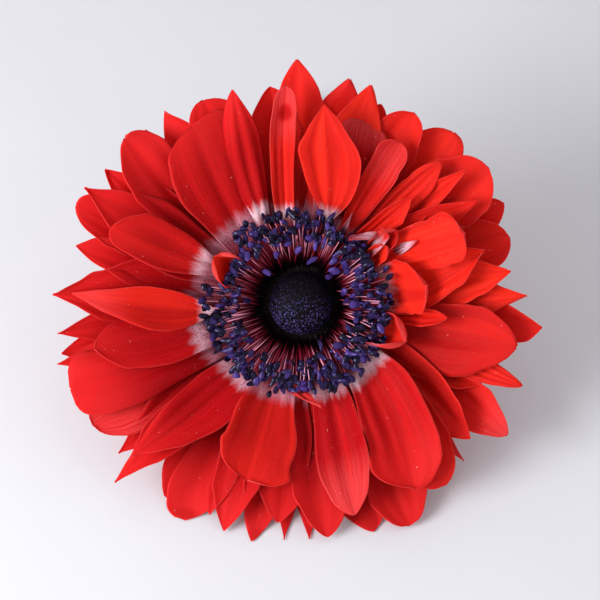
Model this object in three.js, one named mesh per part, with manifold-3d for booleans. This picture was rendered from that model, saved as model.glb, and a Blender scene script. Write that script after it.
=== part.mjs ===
// A semi-double scarlet anemone, picked with a short length of stem and laid down.
// The bloom leans back on its lower petal tips and on the stem, which runs out straight behind it.
// Millimetres, +Z up. The bloom's own frame has x to its right, y up its face and z out of its face.
import * as THREE from "three";
import { mergeVertices } from "three/addons/utils/BufferGeometryUtils.js";
import Module from "manifold-3d";

// Driving dimensions, in millimetres and degrees
const FACE_TILT = 40; // how far the bloom leans back from facing straight up
const BLOOM_HEIGHT = 20.2; // middle of the bloom above the surface
const FIT = 0.3; // air between neighbouring pieces
const BLADE = 0.62; // thickness of a petal or a bract
const RECEPTACLE = { radius: 8.4, bottom: -5, top: 1 };
const PETAL_ROOT = 7.4; // distance from the axis at which a petal starts
const PETAL_ROOT_HEIGHT = -3.9; // height at which the lowest petals start
const RANK_STEP = 0.85; // how much higher each rank of petals starts
const DOME = { radius: 5.2, height: 6.6, skirt: 1.2, grains: 16, rows: 10, relief: 0.22 };
const COLLAR = { inner: 5.7, outer: 6.6, height: 1.1 };
const STAMENS = 60;
const ANTHER = { length: 2, radius: 0.62 };
const FILAMENT_RADIUS = 0.32;
const ANTHER_REACH = [11.6, 13.7, 15.7]; // the three rows of anthers, from the axis
const ANTHER_HEIGHT = [6.3, 6.9, 6.6];
const SHELTERED_REACH = 12.3; // anthers that stand inside a petal-like stamen
const SHELTER_MARGIN = 7; // degrees kept clear on both sides of a petal-like stamen
const STEM = { radius: 2.2, sides: 10, neck: 2, straight: 33 };
const RUFF = { distance: 12, length: 15.5, collar: 2.2, wall: 0.9 };
const BRACT_RISE = [0.3, 0.74, 0.74]; // how steeply the upper bract and the two lower ones climb

const COLOURS = {
  petals: 0xc01016,
  dome: 0x120f22,
  stamens: 0x1d1733,
  green: 0x5f7f3a,
};

const wasm = await Module();
wasm.setup();
const radians = THREE.MathUtils.degToRad;
const clamp = THREE.MathUtils.clamp;

// The same small irregularities on every run.
THREE.MathUtils.seededRandom(23);
const jitter = (spread) => spread * (2 * THREE.MathUtils.seededRandom() - 1);

// Tip forms: where the outline is widest, how square its end is, and how blunt.
const POINTED = [0.6, 1.5, 0.95];
const OGIVE = [0.64, 1.8, 0.75];
const ROUNDED = [0.68, 2.3, 0.6];
const SQUARE = [0.78, 2.6, 0.45];
const TAPERED = [0.42, 1.7, 0.5];

// Each petal: rank from the back (0) to the front, bearing at the root and at the tip counted
// anticlockwise from the bloom's right, reach from the axis, width, height of the tip, tip form, and
// what sets it apart: cup on its left and right half in radians, lean, hook, how late it rises, and
// skew, by which its tip slants back on the left.
const PETALS = [
  [2, 88, 91, 39.8, 10.5, 6.8, OGIVE],
  [0, 100, 98, 35.8, 9.5, 4.8, ROUNDED],
  [1, 117, 115.5, 36.8, 10.5, 5.6, SQUARE, { skew: -0.8 }],
  [0, 127, 126, 38.9, 8.5, 4.8, POINTED],
  [1, 134, 132, 38.4, 9, 5.8, POINTED],
  [2, 148, 136.5, 39.2, 10.5, 7.2, SQUARE],
  [0, 147, 144, 38.7, 9, 4.6, SQUARE, { skew: -0.6 }],
  [3, 158, 152, 40.2, 10.5, 8, POINTED],
  [1, 160, 156.5, 40.3, 8, 6, SQUARE, { skew: 0.9 }],
  [2, 167, 165.5, 37.8, 8.5, 6.6, OGIVE],
  [3, 175, 178, 40.6, 11.5, 8, POINTED],
  [1, 184, 187, 40.4, 8, 6, POINTED],
  [0, 192, 192.3, 40.4, 7.5, 4.8, OGIVE],
  [2, 198, 194, 41.2, 8, 6.6, POINTED],
  [1, 212, 210.5, 39.6, 9.5, 6.2, SQUARE, { hook: 0.8, skew: 0.6 }],
  [0, 219, 219.5, 38.8, 9, 4.8, POINTED],
  [2, 227, 223.5, 42, 7.8, 7.4, POINTED],
  [0, 233, 235, 39.2, 8, 2.2, ROUNDED],
  [1, 243, 241.5, 40.2, 10, 3.4, SQUARE, { skew: 1.5 }],
  [2, 248, 246.5, 37.8, 5, 5.4, ROUNDED, { lean: 25 }],
  [3, 248, 251.2, 39.2, 9, 6.8, OGIVE],
  [1, 258, 258.4, 39.8, 8.5, 5.8, OGIVE],
  [0, 265, 266, 38.5, 6.5, 5, POINTED],
  [1, 273, 272, 38.6, 7, 5.6, POINTED],
  [2, 264, 264, 36, 8.5, 6.6, ROUNDED],
  [3, 273, 276.5, 38.3, 10, 8, ROUNDED],
  [1, 286, 287.5, 39.6, 9.5, 3.8, ROUNDED],
  [2, 298, 296, 40.9, 10.5, 4.8, SQUARE],
  [1, 307, 306.5, 37.2, 9, 3.8, POINTED],
  [3, 319, 308.5, 37.6, 9.5, 8.2, SQUARE],
  [0, 319, 316, 37, 6, 5.4, POINTED, { left: 0.9 }],
  [2, 330, 321.5, 35.6, 9.5, 6.8, OGIVE],
  [1, 334, 327.5, 40.2, 8.4, 6, ROUNDED, { left: 0.6, right: 0.6 }],
  [0, 337, 336, 32.5, 8, 4, ROUNDED],
  [2, 341, 339.3, 38.4, 4.4, 6.8, ROUNDED],
  [3, 343, 348.5, 36.7, 11.5, 8.5, OGIVE],
  [0, 357, 356.5, 38.8, 9.5, 5.2, SQUARE, { skew: 2 }],
  [1, 347, 346, 35, 8.5, 5, ROUNDED],
  [2, 2, 1, 35.7, 8, 7.4, ROUNDED],
  [3, 8, 8.5, 34.9, 8.5, 9, OGIVE],
  [1, 17, 17.5, 35.6, 9.5, 5.8, SQUARE],
  [0, 25, 26, 36.8, 10.5, 5.2, ROUNDED],
  [2, 35, 35.5, 37.7, 12, 7.2, SQUARE],
  [0, 48, 48.5, 37.2, 10.5, 5.4, SQUARE, { skew: 1.2 }],
  [1, 60, 59.5, 36, 9.5, 6.2, SQUARE, { skew: 0.6 }],
  [0, 67, 66.5, 34.8, 8.5, 4.8, POINTED],
  [2, 72, 72, 37.1, 9.5, 7, OGIVE],
  [1, 81, 77.8, 37.7, 9.5, 5.8, OGIVE],
  [4, 102, 94, 35.8, 4.9, 9.5, ROUNDED, { left: 1.1, right: 1.1 }],
  [4, 118, 106.5, 36.6, 8, 9.4, ROUNDED, { left: 1.2, right: 0.5, lean: 5, skew: -2.6 }],
  [3, 133, 121.5, 34.2, 13, 7.2, SQUARE, { skew: 0.5 }],
  [4, 158, 155.8, 32.6, 7.6, 9.2, TAPERED, { skew: -0.8 }],
  [5, 186, 177.5, 37.2, 7.4, 9.8, POINTED, { right: 1, hook: 1 }],
  [4, 196, 192.5, 34.4, 9.5, 8.8, ROUNDED],
  [3, 207, 201, 40.2, 10.8, 8, SQUARE],
  [3, 232, 222.2, 37, 9.5, 8.6, POINTED, { left: 0.9 }],
  [4, 253, 253, 30.4, 12.3, 8.8, SQUARE],
  [4, 290, 284, 35.2, 9.4, 9, ROUNDED, { left: 0.6 }],
  [5, 320, 301.5, 35.3, 12, 9.8, SQUARE, { right: 0.7, skew: -2.6 }],
  [3, 58, 58.5, 31, 6.6, 10.5, ROUNDED, { left: 0.9, right: 0.7, hook: 2 }],
  [3, 63, 70, 32.2, 8, 9.4, ROUNDED, { hook: 2.2 }],
  [4, 66, 84, 32.6, 10, 12, POINTED, { lean: -8 }],
  [4, 46, 43.5, 24.2, 4.4, 9.5, ROUNDED, { left: 0.8, right: 0.8 }],
  [1, 46, 45, 32.2, 5.2, 10.4, ROUNDED, { hook: 1.5 }],
  [3, 41, 38.6, 34.7, 5.5, 9.8, POINTED],
  [4, 37, 30, 33.4, 7, 10.6, POINTED, { left: 0.8 }],
  [5, 28, 23.5, 30.2, 8.6, 13.4, ROUNDED, { left: -0.3, right: -0.3 }],
  [4, 0, 15.5, 30.8, 8.8, 11.8, OGIVE],
  [5.6, 13, 9, 21.2, 9.2, 9.4, ROUNDED, { late: 2 }],
  [5, 351, 354.5, 24.3, 3.2, 8.8, ROUNDED],
];

// The same for the stamens that have turned into small upright petals round the ring.
const PETALOIDS = [
  [5.6, 151, 152, 16.4, 8, 9.4, SQUARE, { left: 1.4, right: 1.4, late: 4 }],
  [5.6, 340, 340, 17.8, 9, 9, SQUARE, { left: 0.9, right: 0.9, late: 4 }],
  [5.6, 232, 281, 17.6, 2.6, 8.4, POINTED, { left: 0.5, right: 0.5, late: 2 }],
  [5.6, 44, 43, 18.4, 8.5, 9.6, SQUARE, { left: 0.9, right: -0.6, late: 3.6 }],
  [5.4, 30, 29, 20.6, 2.8, 9.6, ROUNDED, { late: 3 }],
];

// A petal as the surface it follows: s runs from its root to its tip, t from its right edge to its left.
function petalSurface([rank, from, to, reach, width, lift, tip, shape = {}]) {
  const [widest, square, blunt] = tip;
  const { left = 0.12, right = 0.12, lean = 0, hook = 0, late = 1.25, skew = 0 } = shape;
  const claw = 0.24;
  const endWidth = 0.1;
  const rootHeight = PETAL_ROOT_HEIGHT + RANK_STEP * rank;

  // The outline swells from a narrow claw to its widest, then closes to the tip.
  const halfWidth = (s) => {
    const swell = THREE.MathUtils.smootherstep(s, 0, widest);
    const close = clamp((s - widest) / (1 - widest), 0, 1);
    const end = Math.pow(1 - Math.pow(close, square), blunt);
    return (width / 2) * Math.max(endWidth, (claw + (1 - claw) * swell) * end);
  };

  // The midrib rises slowly at first, and the hook turns its end back down.
  const midrib = (s) => {
    const bend = Math.max(0, s - 0.65) / 0.35;
    return {
      distance: PETAL_ROOT + (reach - PETAL_ROOT) * s,
      height: rootHeight + (lift - rootHeight) * Math.pow(Math.max(0, s), late) - hook * bend * bend,
    };
  };

  return (s, t) => {
    const here = midrib(s);
    const next = midrib(s + 0.01);
    const slope = Math.atan2(next.height - here.height, next.distance - here.distance);
    const bearing = radians(from + (to - from) * s);
    const outward = new THREE.Vector3(Math.cos(bearing), Math.sin(bearing), 0);
    const sideways = new THREE.Vector3(-outward.y, outward.x, 0);
    const facing = outward.clone().multiplyScalar(-Math.sin(slope));
    facing.z = Math.cos(slope);

    // Each half of the section is an arc whose edge has turned by the cup's angle.
    const half = halfWidth(s);
    const cup = t > 0 ? left : right;
    const across = (half * Math.sin(cup * t)) / cup;
    const depth = (half * (1 - Math.cos(cup * t))) / cup;
    const turn = radians(lean * s);
    const slant = (skew * t * half * Math.pow(clamp(s, 0, 1), 4)) / (width / 2);
    return outward
      .multiplyScalar(here.distance - slant)
      .setZ(here.height)
      .addScaledVector(sideways, across * Math.cos(turn) - depth * Math.sin(turn))
      .addScaledVector(facing, across * Math.sin(turn) + depth * Math.cos(turn));
  };
}

// A point that would lie in the surface under the flower moves out along the bloom's axis to rest on it.
function keepAboveSurface(point) {
  const tilt = radians(FACE_TILT);
  const height = BLOOM_HEIGHT + point.y * Math.sin(tilt) + point.z * Math.cos(tilt);
  point.z += Math.max(0, BLADE / 2 - height) / Math.cos(tilt);
  return point;
}

// A closed blade of even thickness about a surface, with both faces split into triangles alike.
function bladeGeometry(surface, alongSteps, acrossSteps) {
  const step = 0.004;
  const columns = acrossSteps + 1;
  const faceSize = (alongSteps + 1) * columns;
  const positions = [];
  for (const side of [1, -1]) {
    for (let i = 0; i <= alongSteps; i++) {
      for (let j = 0; j <= acrossSteps; j++) {
        const s = 1 - Math.pow(1 - i / alongSteps, 1.35);
        const t = (2 * j) / acrossSteps - 1;
        const along = surface(s + step, t).sub(surface(s - step, t));
        const across = surface(s, t + step).sub(surface(s, t - step));
        const normal = along.cross(across).normalize();
        const point = surface(s, t).addScaledVector(normal, (side * BLADE) / 2);
        positions.push(...point);
      }
    }
  }
  const indices = [];
  const at = (i, j) => i * columns + j;
  const addFace = (a, b, c) => indices.push(a, b, c, a + faceSize, c + faceSize, b + faceSize);
  for (let i = 0; i < alongSteps; i++) {
    for (let j = 0; j < acrossSteps; j++) {
      addFace(at(i, j), at(i + 1, j), at(i + 1, j + 1));
      addFace(at(i, j), at(i + 1, j + 1), at(i, j + 1));
    }
  }
  const addWall = (a, b) => indices.push(b, a, a + faceSize, b, a + faceSize, b + faceSize);
  for (let i = 0; i < alongSteps; i++) {
    addWall(at(i, 0), at(i + 1, 0));
    addWall(at(i + 1, acrossSteps), at(i, acrossSteps));
  }
  for (let j = 0; j < acrossSteps; j++) {
    addWall(at(alongSteps, j), at(alongSteps, j + 1));
    addWall(at(0, j + 1), at(0, j));
  }
  return new THREE.BufferGeometry()
    .setAttribute("position", new THREE.Float32BufferAttribute(positions, 3))
    .setIndex(indices);
}

// A closed skin through rings of a given radius about the points of a path.
function skinGeometry(points, radii, sides) {
  const path = new THREE.CatmullRomCurve3(points, false, "centripetal");
  const positions = [];
  points.forEach((point, ring) => {
    const tangent = path.getTangent(ring / (points.length - 1));
    const level = new THREE.Vector3(-tangent.y, tangent.x, 0).normalize();
    const upright = tangent.clone().cross(level);
    for (let k = 0; k < sides; k++) {
      const angle = (2 * Math.PI * (k + 0.5)) / sides;
      const corner = point
        .clone()
        .addScaledVector(level, radii[ring] * Math.cos(angle))
        .addScaledVector(upright, radii[ring] * Math.sin(angle));
      positions.push(...corner);
    }
  });
  const indices = [];
  for (let ring = 0; ring < points.length - 1; ring++) {
    for (let k = 0; k < sides; k++) {
      const a = ring * sides + k;
      const b = ring * sides + ((k + 1) % sides);
      indices.push(a, b, b + sides, a, b + sides, a + sides);
    }
  }
  const last = (points.length - 1) * sides;
  for (let k = 1; k < sides - 1; k++) {
    indices.push(0, k + 1, k, last, last + k, last + k + 1);
  }
  return new THREE.BufferGeometry()
    .setAttribute("position", new THREE.Float32BufferAttribute(positions, 3))
    .setIndex(indices);
}

// A solid of revolution about z from a profile of [radius, height] pairs that starts and ends alike.
function turnedGeometry(profile, sides) {
  const points = profile.map(([radius, height]) => new THREE.Vector2(radius, height));
  return new THREE.LatheGeometry(points, sides).rotateX(Math.PI / 2);
}

function solidOf(geometry) {
  const bare = new THREE.BufferGeometry()
    .setAttribute("position", geometry.getAttribute("position"))
    .setIndex(geometry.getIndex());
  const merged = mergeVertices(bare, 1e-4);
  return new wasm.Manifold(
    new wasm.Mesh({
      numProp: 3,
      vertProperties: merged.getAttribute("position").array,
      triVerts: new Uint32Array(merged.getIndex().array),
    }),
  );
}

// One closed geometry from several that overlap: the largest skin alone, so that a hollow sealed
// between crossing blades is filled.
function fuse(geometries) {
  const [first, ...rest] = geometries.map(solidOf);
  const skins = rest.reduce((whole, next) => whole.add(next), first).decompose();
  const mesh = skins.reduce((most, skin) => (skin.volume() > most.volume() ? skin : most)).getMesh();
  return new THREE.BufferGeometry()
    .setAttribute("position", new THREE.BufferAttribute(mesh.vertProperties, 3))
    .setIndex(new THREE.BufferAttribute(mesh.triVerts, 1));
}

function namedMesh(name, geometry, color, roughness) {
  const material = new THREE.MeshStandardMaterial({ color, roughness, metalness: 0 });
  geometry.computeVertexNormals();
  const mesh = new THREE.Mesh(geometry, material);
  mesh.name = name;
  return mesh;
}

// All the petals, fused with the receptacle that they grow from.
function makePetals() {
  const { radius, bottom, top } = RECEPTACLE;
  const receptacle = turnedGeometry(
    [[0, bottom], [radius * 0.4, bottom], [radius, bottom + 1.3], [radius, top], [0, top]],
    20,
  );
  const blades = [...PETALS, ...PETALOIDS].map((petal) => {
    const surface = petalSurface(petal);
    const [rank, , , , width] = petal;
    const acrossSteps = rank > 1.5 && width > 7 ? 3 : 2;
    return bladeGeometry((s, t) => keepAboveSurface(surface(s, t)), 5, acrossSteps);
  });
  return namedMesh("petals", fuse([receptacle, ...blades]), COLOURS.petals, 0.55);
}

// The head of packed carpels: a dome whose grains stand out in staggered rows.
function makeDome() {
  const { radius, height, skirt, grains, rows, relief } = DOME;
  const base = RECEPTACLE.top + FIT;
  const profile = [[0, base], [radius * 0.8, base]];
  for (let row = 0; row < rows; row++) {
    const rise = radians(-12 + (102 * row) / rows);
    profile.push([radius * Math.cos(rise), base + skirt + (height - skirt) * Math.sin(rise)]);
  }
  profile.push([0, base + height]);
  const geometry = turnedGeometry(profile, 2 * grains);
  const place = geometry.getAttribute("position");
  const columnSize = profile.length;
  for (let i = 0; i < place.count; i++) {
    const row = i % columnSize;
    const column = Math.floor(i / columnSize);
    const onDome = row > 2 && row < columnSize - 1;
    const grow = onDome && (row + column) % 2 === 0 ? 1 + relief / radius : 1;
    place.setXYZ(i, place.getX(i) * grow, place.getY(i) * grow, place.getZ(i) * grow);
  }
  return namedMesh("carpel_dome", fuse([geometry]), COLOURS.dome, 0.7);
}

// Whether a petal-like stamen passes near an anther's place, so that the anther keeps inside it.
function isSheltered(bearing, distance) {
  return PETALOIDS.some(([, from, to, reach, width]) => {
    const passing = from + ((to - from) * (distance - PETAL_ROOT)) / (reach - PETAL_ROOT);
    const between = Math.abs(THREE.MathUtils.euclideanModulo(bearing - passing + 180, 360) - 180);
    const halfWidth = THREE.MathUtils.radToDeg(width / 2 / ANTHER_REACH[1]);
    return between < halfWidth + SHELTER_MARGIN;
  });
}

// Stamens in three rows on a collar round the dome: a thin filament that ends in an oval anther.
function makeStamens() {
  const floor = RECEPTACLE.top + FIT;
  const { inner, outer, height } = COLLAR;
  const collar = turnedGeometry(
    [[inner, floor], [outer, floor], [outer, floor + height], [inner, floor + height], [inner, floor]],
    36,
  );
  const goldenAngle = 137.508;
  const root = (inner + outer) / 2;
  const stamens = [];
  for (let k = 0; k < STAMENS; k++) {
    const row = k % ANTHER_REACH.length;
    const bearing = k * goldenAngle + jitter(1.5);
    const full = ANTHER_REACH[row] + jitter(0.4);
    const reach = isSheltered(bearing, full) ? Math.min(full, SHELTERED_REACH) : full;
    const top = ANTHER_HEIGHT[row] + jitter(0.3);
    const turn = radians(bearing);
    const along = (distance, rise) =>
      new THREE.Vector3(distance * Math.cos(turn), distance * Math.sin(turn), rise);
    const path = [
      along(root, floor + height / 2),
      along(root + (reach - root) * 0.5, floor + 1 + (top - floor) * 0.55),
      along(reach - ANTHER.length / 2, top - 0.3),
      along(reach - ANTHER.length / 4, top),
      along(reach + ANTHER.length / 4, top + 0.1),
      along(reach + ANTHER.length / 2, top),
    ];
    const thin = FILAMENT_RADIUS;
    const thick = ANTHER.radius;
    stamens.push(skinGeometry(path, [thin, thin, thin, thick, thick, thin], 4));
  }
  return namedMesh("stamens", fuse([collar, ...stamens]), COLOURS.stamens, 0.4);
}

// The stem's middle line: straight out of the bloom's back, one bend, then flat along the surface.
class StemLine extends THREE.Curve {
  constructor() {
    super();
    const tilt = radians(FACE_TILT);
    const rest = STEM.radius * Math.cos(Math.PI / STEM.sides);
    const back = RECEPTACLE.bottom - FIT;
    this.fall = Math.PI / 2 - tilt;
    this.start = new THREE.Vector3(0, -back * Math.sin(tilt), BLOOM_HEIGHT + back * Math.cos(tilt));
    const drop = this.start.z - STEM.neck * Math.sin(this.fall) - rest;
    this.bend = drop / (1 - Math.cos(this.fall));
    this.arc = this.bend * this.fall;
    this.total = STEM.neck + this.arc + STEM.straight;
  }

  // The point at a distance along the line, counted from the bloom.
  pointAt(distance) {
    const neck = Math.min(distance, STEM.neck);
    const turned = clamp(distance - STEM.neck, 0, this.arc) / this.bend;
    const flat = Math.max(0, distance - STEM.neck - this.arc);
    const heading = this.fall - turned;
    const y = neck * Math.cos(this.fall) + this.bend * (Math.sin(this.fall) - Math.sin(heading)) + flat;
    const z = neck * Math.sin(this.fall) + this.bend * (Math.cos(heading) - Math.cos(this.fall));
    return new THREE.Vector3(this.start.x, this.start.y + y, this.start.z - z);
  }

  getPoint(share) {
    return this.pointAt(share * this.total);
  }
}

function makeStem(line) {
  const section = new THREE.Shape();
  for (let k = 0; k < STEM.sides; k++) {
    const angle = (2 * Math.PI * k) / STEM.sides;
    const corner = [STEM.radius * Math.cos(angle), STEM.radius * Math.sin(angle)];
    if (k === 0) section.moveTo(...corner);
    else section.lineTo(...corner);
  }
  const geometry = new THREE.ExtrudeGeometry(section, {
    steps: 18,
    extrudePath: line,
    bevelEnabled: false,
  });
  // The underside of the straight stretch lies exactly on the surface.
  const place = geometry.getAttribute("position");
  for (let i = 0; i < place.count; i++) {
    if (place.getZ(i) < 0.02) place.setZ(i, 0);
  }
  geometry.deleteAttribute("uv");
  geometry.deleteAttribute("normal");
  return namedMesh("stem", mergeVertices(geometry, 1e-4), COLOURS.green, 0.6);
}

// The outline of one bract, cut nearly to its base into three lobes of three fingers each.
function bractOutline() {
  const fingers = 9;
  const spread = radians(58);
  const outline = new THREE.Shape();
  outline.moveTo(0, -1.5);
  for (let k = 0; k < fingers; k++) {
    const bearing = spread * ((2 * k) / (fingers - 1) - 1);
    const middle = k % 3 === 1;
    const long = RUFF.length * (middle ? 1 : 0.8) * (1 - 0.2 * Math.abs(bearing / spread));
    const polar = (distance, angle) => [distance * Math.cos(angle), distance * Math.sin(angle)];
    outline.lineTo(...polar(0.72 * long, bearing - radians(4.5)));
    outline.lineTo(...polar(long, bearing));
    outline.lineTo(...polar(0.72 * long, bearing + radians(4.5)));
    const cut = k % 3 === 2 ? 0.24 : 0.5;
    const notch = bearing + spread / (fingers - 1);
    if (k < fingers - 1) outline.lineTo(...polar(cut * RUFF.length, notch));
  }
  outline.lineTo(0, 1.5);
  return outline;
}

// The ruff below the bloom: three cut bracts that rise from a ring round the stem.
function makeInvolucre(line) {
  const inner = STEM.radius + FIT;
  const outer = inner + RUFF.wall;
  const half = RUFF.collar / 2;
  const sunk = RUFF.wall / 2;
  const ring = turnedGeometry(
    [[inner, -half], [outer, -half], [outer, half], [inner, half], [inner, -half]],
    20,
  );
  const bracts = [];
  BRACT_RISE.forEach((slope, k) => {
    const blade = new THREE.ExtrudeGeometry(bractOutline(), { depth: BLADE, bevelEnabled: false });
    const place = blade.getAttribute("position");
    for (let i = 0; i < place.count; i++) {
      const rise = slope * Math.hypot(place.getX(i), place.getY(i));
      place.setXYZ(i, place.getX(i) + inner + sunk, place.getY(i), place.getZ(i) + rise - half);
    }
    bracts.push(blade.rotateZ(Math.PI / 2 + (2 * Math.PI * k) / BRACT_RISE.length));
  });
  const mesh = namedMesh("involucre", fuse([ring, ...bracts]), COLOURS.green, 0.7);
  const ahead = line.pointAt(RUFF.distance - 0.1).sub(line.pointAt(RUFF.distance + 0.1));
  mesh.position.copy(line.pointAt(RUFF.distance));
  mesh.rotation.x = Math.atan2(-ahead.y, ahead.z);
  return mesh;
}

const bloom = new THREE.Group();
bloom.rotation.x = radians(FACE_TILT);
bloom.position.z = BLOOM_HEIGHT;
bloom.add(makePetals(), makeDome(), makeStamens());

const stemLine = new StemLine();
const flower = new THREE.Group();
flower.add(bloom, makeStem(stemLine), makeInvolucre(stemLine));

// The frame's origin is the middle of the flower's footprint.
const extent = new THREE.Box3().setFromObject(flower, true);
const middle = extent.getCenter(new THREE.Vector3());
flower.position.set(-middle.x, -middle.y, -extent.min.z);

const anemone = new THREE.Group();
anemone.add(flower);
export default anemone;
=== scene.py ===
# %% [markdown]
# A scarlet anemone, picked and laid on a pale surface. The packed model gives the frame: where the
# petals, dome, stamens, stem and ruff are. This lesson dresses each of them with a finer surface
# worked out from the same few sizes, so every new piece sits exactly where the frame has its solid.

import bpy
import numpy as np
from mathutils import Matrix, Vector


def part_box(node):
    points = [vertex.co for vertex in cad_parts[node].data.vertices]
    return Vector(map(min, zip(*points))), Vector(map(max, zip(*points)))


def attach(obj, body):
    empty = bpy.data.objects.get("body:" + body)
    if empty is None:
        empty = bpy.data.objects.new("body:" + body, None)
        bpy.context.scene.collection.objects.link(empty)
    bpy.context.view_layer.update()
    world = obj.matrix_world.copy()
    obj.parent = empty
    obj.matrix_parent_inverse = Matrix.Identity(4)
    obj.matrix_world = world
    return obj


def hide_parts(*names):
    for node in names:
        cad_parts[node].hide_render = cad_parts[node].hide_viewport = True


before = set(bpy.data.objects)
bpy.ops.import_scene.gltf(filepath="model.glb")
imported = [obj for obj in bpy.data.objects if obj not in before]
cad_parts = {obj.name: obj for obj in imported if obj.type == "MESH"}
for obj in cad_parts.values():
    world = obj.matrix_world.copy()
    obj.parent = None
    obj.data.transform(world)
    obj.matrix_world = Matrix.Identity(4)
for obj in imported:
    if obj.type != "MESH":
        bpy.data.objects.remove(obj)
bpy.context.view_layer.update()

print("nodes to dress:", sorted(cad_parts))

# %% [markdown]
# The bloom leans back from facing straight up, and all its parts are easiest to describe in its own
# millimetres: x to its right, y up its face, z out of its face. The stem's solid tells where the
# bloom stands: its middle line gives x, and its cut end, less the length of the stem's run, gives y.
# The values are the frame's own sizes, and FIT is the gap that its solids keep to each other.

# %% Where the bloom stands
MM = 0.001
FACE_TILT = np.radians(40)
BLOOM_HEIGHT = 20.2
RECEPTACLE_BOTTOM = -5.0
RECEPTACLE_TOP = 1.0
STEM_RADIUS = 2.2
STEM_SIDES = 10
STEM_NECK = 2.0
STEM_STRAIGHT = 33.0
FIT = 0.3

stem_fall = np.pi / 2 - FACE_TILT
stem_start = (RECEPTACLE_BOTTOM - FIT) * np.array([0, -np.sin(FACE_TILT), np.cos(FACE_TILT)])
stem_rest = STEM_RADIUS * np.cos(np.pi / STEM_SIDES)
stem_drop = BLOOM_HEIGHT + stem_start[2] - STEM_NECK * np.sin(stem_fall) - stem_rest
stem_bend = stem_drop / (1 - np.cos(stem_fall))
stem_arc = stem_bend * stem_fall
stem_run = STEM_NECK * np.cos(stem_fall) + stem_bend * np.sin(stem_fall) + STEM_STRAIGHT

stem_low, stem_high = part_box("stem")
bloom_middle = np.array([
    (stem_low.x + stem_high.x) / 2,
    stem_high.y - (stem_start[1] + stem_run) * MM,
    BLOOM_HEIGHT * MM,
])
print("middle of the bloom, metres:", bloom_middle.round(5))


def bloom_to_row(points):
    """Lean the bloom's own millimetres back about X, and move them to the bloom's place in metres."""
    x, y, z = np.moveaxis(points, -1, 0)
    cos, sin = np.cos(FACE_TILT), np.sin(FACE_TILT)
    turned = np.stack([x, y * cos - z * sin, y * sin + z * cos], axis=-1)
    return turned * MM + bloom_middle


# %% [markdown]
# The photograph looks straight into the bloom, so the camera stands on the bloom's own axis. A long
# lens from some way off keeps the petals' proportions, and the view is as wide as 600 pixels are at
# the photograph's scale. The camera is a little off the middle, because the bloom is in the picture.

# %% Camera
PIXEL = 0.165  # millimetres across one of the photograph's pixels, at the petals' height
PICTURE = 600
BLOOM_AT = (301, 303)
CAMERA_DISTANCE = 400.0
PETAL_LEVEL = 7.0
SENSOR = 36

aim = np.array([(PICTURE / 2 - BLOOM_AT[0]) * PIXEL, (BLOOM_AT[1] - PICTURE / 2) * PIXEL, 0])
eye = aim + [0, 0, CAMERA_DISTANCE]
camera_data = bpy.data.cameras.new("camera")
camera_data.sensor_width = SENSOR
camera_data.lens = SENSOR * (CAMERA_DISTANCE - PETAL_LEVEL) / (PICTURE * PIXEL)
camera_data.clip_start = 0.01
camera_data.clip_end = 10
camera = bpy.data.objects.new("camera", camera_data)
bpy.context.scene.collection.objects.link(camera)
camera.matrix_world = (
    Matrix.Translation(Vector(bloom_to_row(eye)))
    @ Matrix.Rotation(FACE_TILT, 4, "X")
)
bpy.context.scene.camera = camera
print("lens, millimetres:", round(camera_data.lens, 1))

# %% [markdown]
# Every piece below is an array of points with an array of faces. Blender can add faces one by one,
# but it takes whole arrays at once far faster, so one helper hands them over. It also stores a UV map
# and named numbers for each point, which the materials read, and ties the piece to the frame.

# %% From arrays to a piece


def add_piece(name, points, faces, uv, marks, material, node):
    """Make one closed object: points in metres, faces as index arrays, uv and marks by point."""
    corners = np.concatenate([part.ravel() for part in faces]).astype(np.int32)
    sizes = np.concatenate([np.full(len(part), part.shape[1]) for part in faces])
    starts = np.concatenate([[0], np.cumsum(sizes)[:-1]]).astype(np.int32)
    mesh = bpy.data.meshes.new(name)
    mesh.vertices.add(len(points))
    mesh.vertices.foreach_set("co", points.astype(np.float32).ravel())
    mesh.loops.add(len(corners))
    mesh.loops.foreach_set("vertex_index", corners)
    mesh.polygons.add(len(starts))
    mesh.polygons.foreach_set("loop_start", starts)
    mesh.update(calc_edges=True)
    mesh.validate()
    mesh.polygons.foreach_set("use_smooth", np.ones(len(starts), dtype=bool))
    layer = mesh.uv_layers.new(name="surface")
    layer.data.foreach_set("uv", uv[corners].astype(np.float32).ravel())
    for mark, values in marks.items():
        attribute = mesh.attributes.new(mark, "FLOAT", "POINT")
        attribute.data.foreach_set("value", values.astype(np.float32).ravel())
    mesh.materials.append(material)
    piece = bpy.data.objects.new(name, mesh)
    bpy.context.scene.collection.objects.link(piece)
    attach(piece, "root")
    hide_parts(node)
    print(f"{name}: {len(points)} points, {len(starts)} faces")


# %% [markdown]
# Three kinds of faces cover the whole flower. A grid of points gets a four-cornered face for each of
# its cells, a thin blade is two such grids with a wall round their border, and a tube is a grid
# joined on to itself, with a cap over each end. Only the points' numbers matter, not their places.

# %% Faces for grids, blades and tubes


def grid_faces(rows, columns, wrap=False):
    """Four corners for each cell of a grid of points, with the last column joined on if it wraps."""
    ids = np.arange(rows * columns).reshape(rows, columns)
    if wrap:
        ids = np.concatenate([ids, ids[:, :1]], axis=1)
    cells = [ids[:-1, :-1], ids[1:, :-1], ids[1:, 1:], ids[:-1, 1:]]
    return np.stack(cells, axis=-1).reshape(-1, 4)


def blade_faces(rows, columns):
    """Both faces of a thin blade, the second turned over, and the wall round its border."""
    front = grid_faces(rows, columns)
    size = rows * columns
    ids = np.arange(size).reshape(rows, columns)
    border = np.concatenate([ids[:-1, 0], ids[-1, :-1], ids[:0:-1, -1], ids[0, :0:-1]])
    following = np.roll(border, -1)
    wall = np.stack([following, border, border + size, following + size], axis=-1)
    return np.concatenate([front, front[:, ::-1] + size, wall])


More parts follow.
